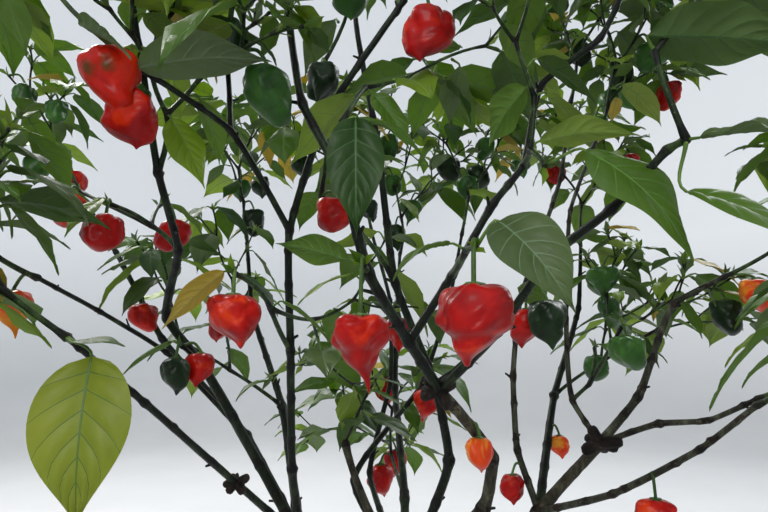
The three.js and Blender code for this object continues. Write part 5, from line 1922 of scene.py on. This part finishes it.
def add_studio():
    """A floor that sweeps up into a round wall, both looking pale: the floor is painted darker than the wall,
    a painted shade that offsets the stronger light on it. Soft light comes from above and behind.
    """
    profile = [(FLOOR_RADIUS, 0)]
    bend = WALL_RADIUS - FLOOR_RADIUS
    for k in range(1, SWEEP_STEPS + 1):
        turn = math.pi / 2 * k / SWEEP_STEPS
        profile.append((FLOOR_RADIUS + bend * math.sin(turn), bend * (1 - math.cos(turn))))
    profile.append((WALL_RADIUS, WALL_HEIGHT))
    spokes = level_spokes(ring_angles(STUDIO_SIDES))
    rings = [spokes * out + UP * up for out, up in profile]
    points = np.vstack([*rings, 0 * UP]) * MM
    points[:, 2] -= FLOOR_DROP
    faces = [face[::-1].tolist() for face in band_faces(len(rings), STUDIO_SIDES)]
    faces += [[k, (k + 1) % STUDIO_SIDES, len(points) - 1] for k in range(STUDIO_SIDES)]
    mesh = bpy.data.meshes.new("studio")
    mesh.from_pydata(points.tolist(), [], faces)
    mesh.shade_smooth()
    shader = Shader("studio")
    noise, places = FLOOR_DUST
    dust = shader.noise(*noise)
    # Painted shade: the floor is darker at its foot and fades to the wall's paler shade with height, against
    # the light that is stronger on the floor.
    floor_painted_shade = shader.ramp(dust, places, FLOOR_PAINTED_SHADES)
    height = shader.node("ShaderNodeSeparateXYZ", {"Vector": shader.spot}).outputs["Z"]
    shade = shader.mix(shader.share(height, 0, WALL_SHADE_HEIGHT), floor_painted_shade, WALL_SHADE)
    normal = shader.bump(dust, *FLOOR_BUMP)
    mesh.materials.append(shader.finish(shader.surface(shade, STUDIO_ROUGHNESS, normal)))
    linked("studio", mesh)
    world = bpy.data.worlds.new("sky")
    world.use_nodes = True
    background = world.node_tree.nodes["Background"]
    background.inputs["Color"].default_value = SKY_SHADE
    background.inputs["Strength"].default_value = SKY_STRENGTH
    bpy.context.scene.world = world
    bpy.context.scene.view_settings.view_transform = "Standard"
    for light in LIGHTS:
        add_light(*light)


curves = grown_limbs()
limbs = limb_capsules(curves)
masses = placed_masses(curves)
shoots, twigs = grow_all(masses, limbs)
dresser = Dresser(limbs, twigs)
for mass in masses:
    dresser.dress(mass, [shoot for shoot in shoots if shoot.mass is mass], wanted_at)
long_shoots = [shoot for shoot in shoots if shoot.length > LONG_SHOOT and shoot.kin and shoot.kin.ruled]
halves = [replace(shoot, length=shoot.length / 2, growths=[], blocked=[]) for shoot in long_shoots]
for mass in masses:
    dresser.dress(mass, [half for half in halves if half.mass is mass], side_wanted_at)
finer = carry_on(shoots, dresser)
for mass in masses:
    dresser.dress(mass, [shoot for shoot in finer if shoot.mass is mass], fine_wanted_at)
for name, share, heading, *size in LIMB_PODS:
    dresser.keep(Pod(curves[name].point(share), toward(heading, 0), *size))

mass_nodes = [mass["name"] for mass in masses]
woody_nodes = [limb.name for limb in LIMBS if limb.woody]
green_nodes = [limb.name for limb in LIMBS if not limb.woody]
stems, boughs = Piece(), Piece()
for number, limb in enumerate(LIMBS):
    add_limb(stems if limb.woody else boughs, limb, curves[limb.name], draw_of("limb", number))
add_cut_branch(stems, curves["stem_middle"].joints[1])
for number, (name, joint, reach) in enumerate(KNOBBED):
    piece, slot = (stems, DARK_SLOT) if name in woody_nodes else (boughs, BROWN_SLOTS + DARK_SLOT)
    add_knobs(piece, curves[name].joints[joint], reach, slot, draw_of("knobs", number))
stems.finish("bark_of_stems", barks("bark", "bark_node"), "bark", woody_nodes)
bough_barks = barks("green_bark", "green_bark_node", "brown_bark", "brown_bark_node")
boughs.finish("bark_of_boughs", bough_barks, "green_bark", green_nodes)
wood = Piece()
for shoot in shoots + finer:
    add_twig(wood, shoot)
wood.finish("twigs", barks("twig", "twig_node"), "green_bark", mass_nodes)

leaf_pieces = {tint: Piece() for tint in TINTS}
stalks = Piece()
for number, leaf in enumerate(dresser.leaves):
    draw = draw_of("leaf", number)
    pattern = HERO_PATTERN if leaf.look else PATTERN if leaf.length > SMALL_LEAF else SMALL_PATTERN
    add_blade(leaf_pieces[leaf.look or draw.pick(TINT_WEIGHTS)], leaf, pattern, draw)
    add_leaf_stalk(stalks, leaf)
for shoot in shoots + finer:
    if shoot.forks < 1 and not shoot.forked():
        draw = shoot.draw("young_blades")
        for leaf in young_leaves(shoot):
            add_blade(leaf_pieces[draw.pick(YOUNG_WEIGHTS)], leaf, YOUNG_PATTERN, draw)
for tint, (top, under, glow, vein) in TINTS.items():
    materials = [
        leaf_material(f"leaf_{tint}", *top, TOP_ROUGHNESS, glow),
        leaf_material(f"leaf_{tint}_under", *under, UNDER_ROUGHNESS, glow),
        leaf_material(f"leaf_{tint}_vein", vein, vein, vein, VEIN_ROUGHNESS),
    ]
    leaf_pieces[tint].finish(f"leaves_{tint}", materials, "foliage", mass_nodes, sharp=SHARP_RIM)
stalks.finish("leaf_stalks", barks("leaf_stalk"), "green_bark", mass_nodes)

pod_pieces = {look: Piece() for look in RIPENESS}
pod_stalks = Piece()
for number, pod in enumerate(dresser.pods):
    draw = draw_of("pod", number)
    hero = pod.look is not None
    late = pod.top[0] > LATE_SIDE or pod.top[2] > LATE_HEIGHT
    pod.look = pod.look or draw.pick(LATE_POD_WEIGHTS if late else POD_WEIGHTS)
    pod.form = pod.form or draw.pick(POD_FORM_WEIGHTS)
    add_pod(pod_pieces[pod.look], pod, draw, hero)
    add_pod_stalk(pod_stalks, pod)
for look, (skin, blotch) in RIPENESS.items():
    spotted = [pod for pod in dresser.pods if pod.look == look == SPOTTED_LOOK]
    spots = [pod.top + spot for pod in spotted for spot in POD_SPOTS]
    material = pod_material(f"pod_{look}", skin, blotch, BLOTCH_LEVEL[look], spots)
    pod_pieces[look].finish(f"pods_{look}", [material], "foliage", mass_nodes)
pod_stalks.finish("pod_stalks", barks("pod_stalk"), "green_bark", mass_nodes)

add_camera()
add_studio()
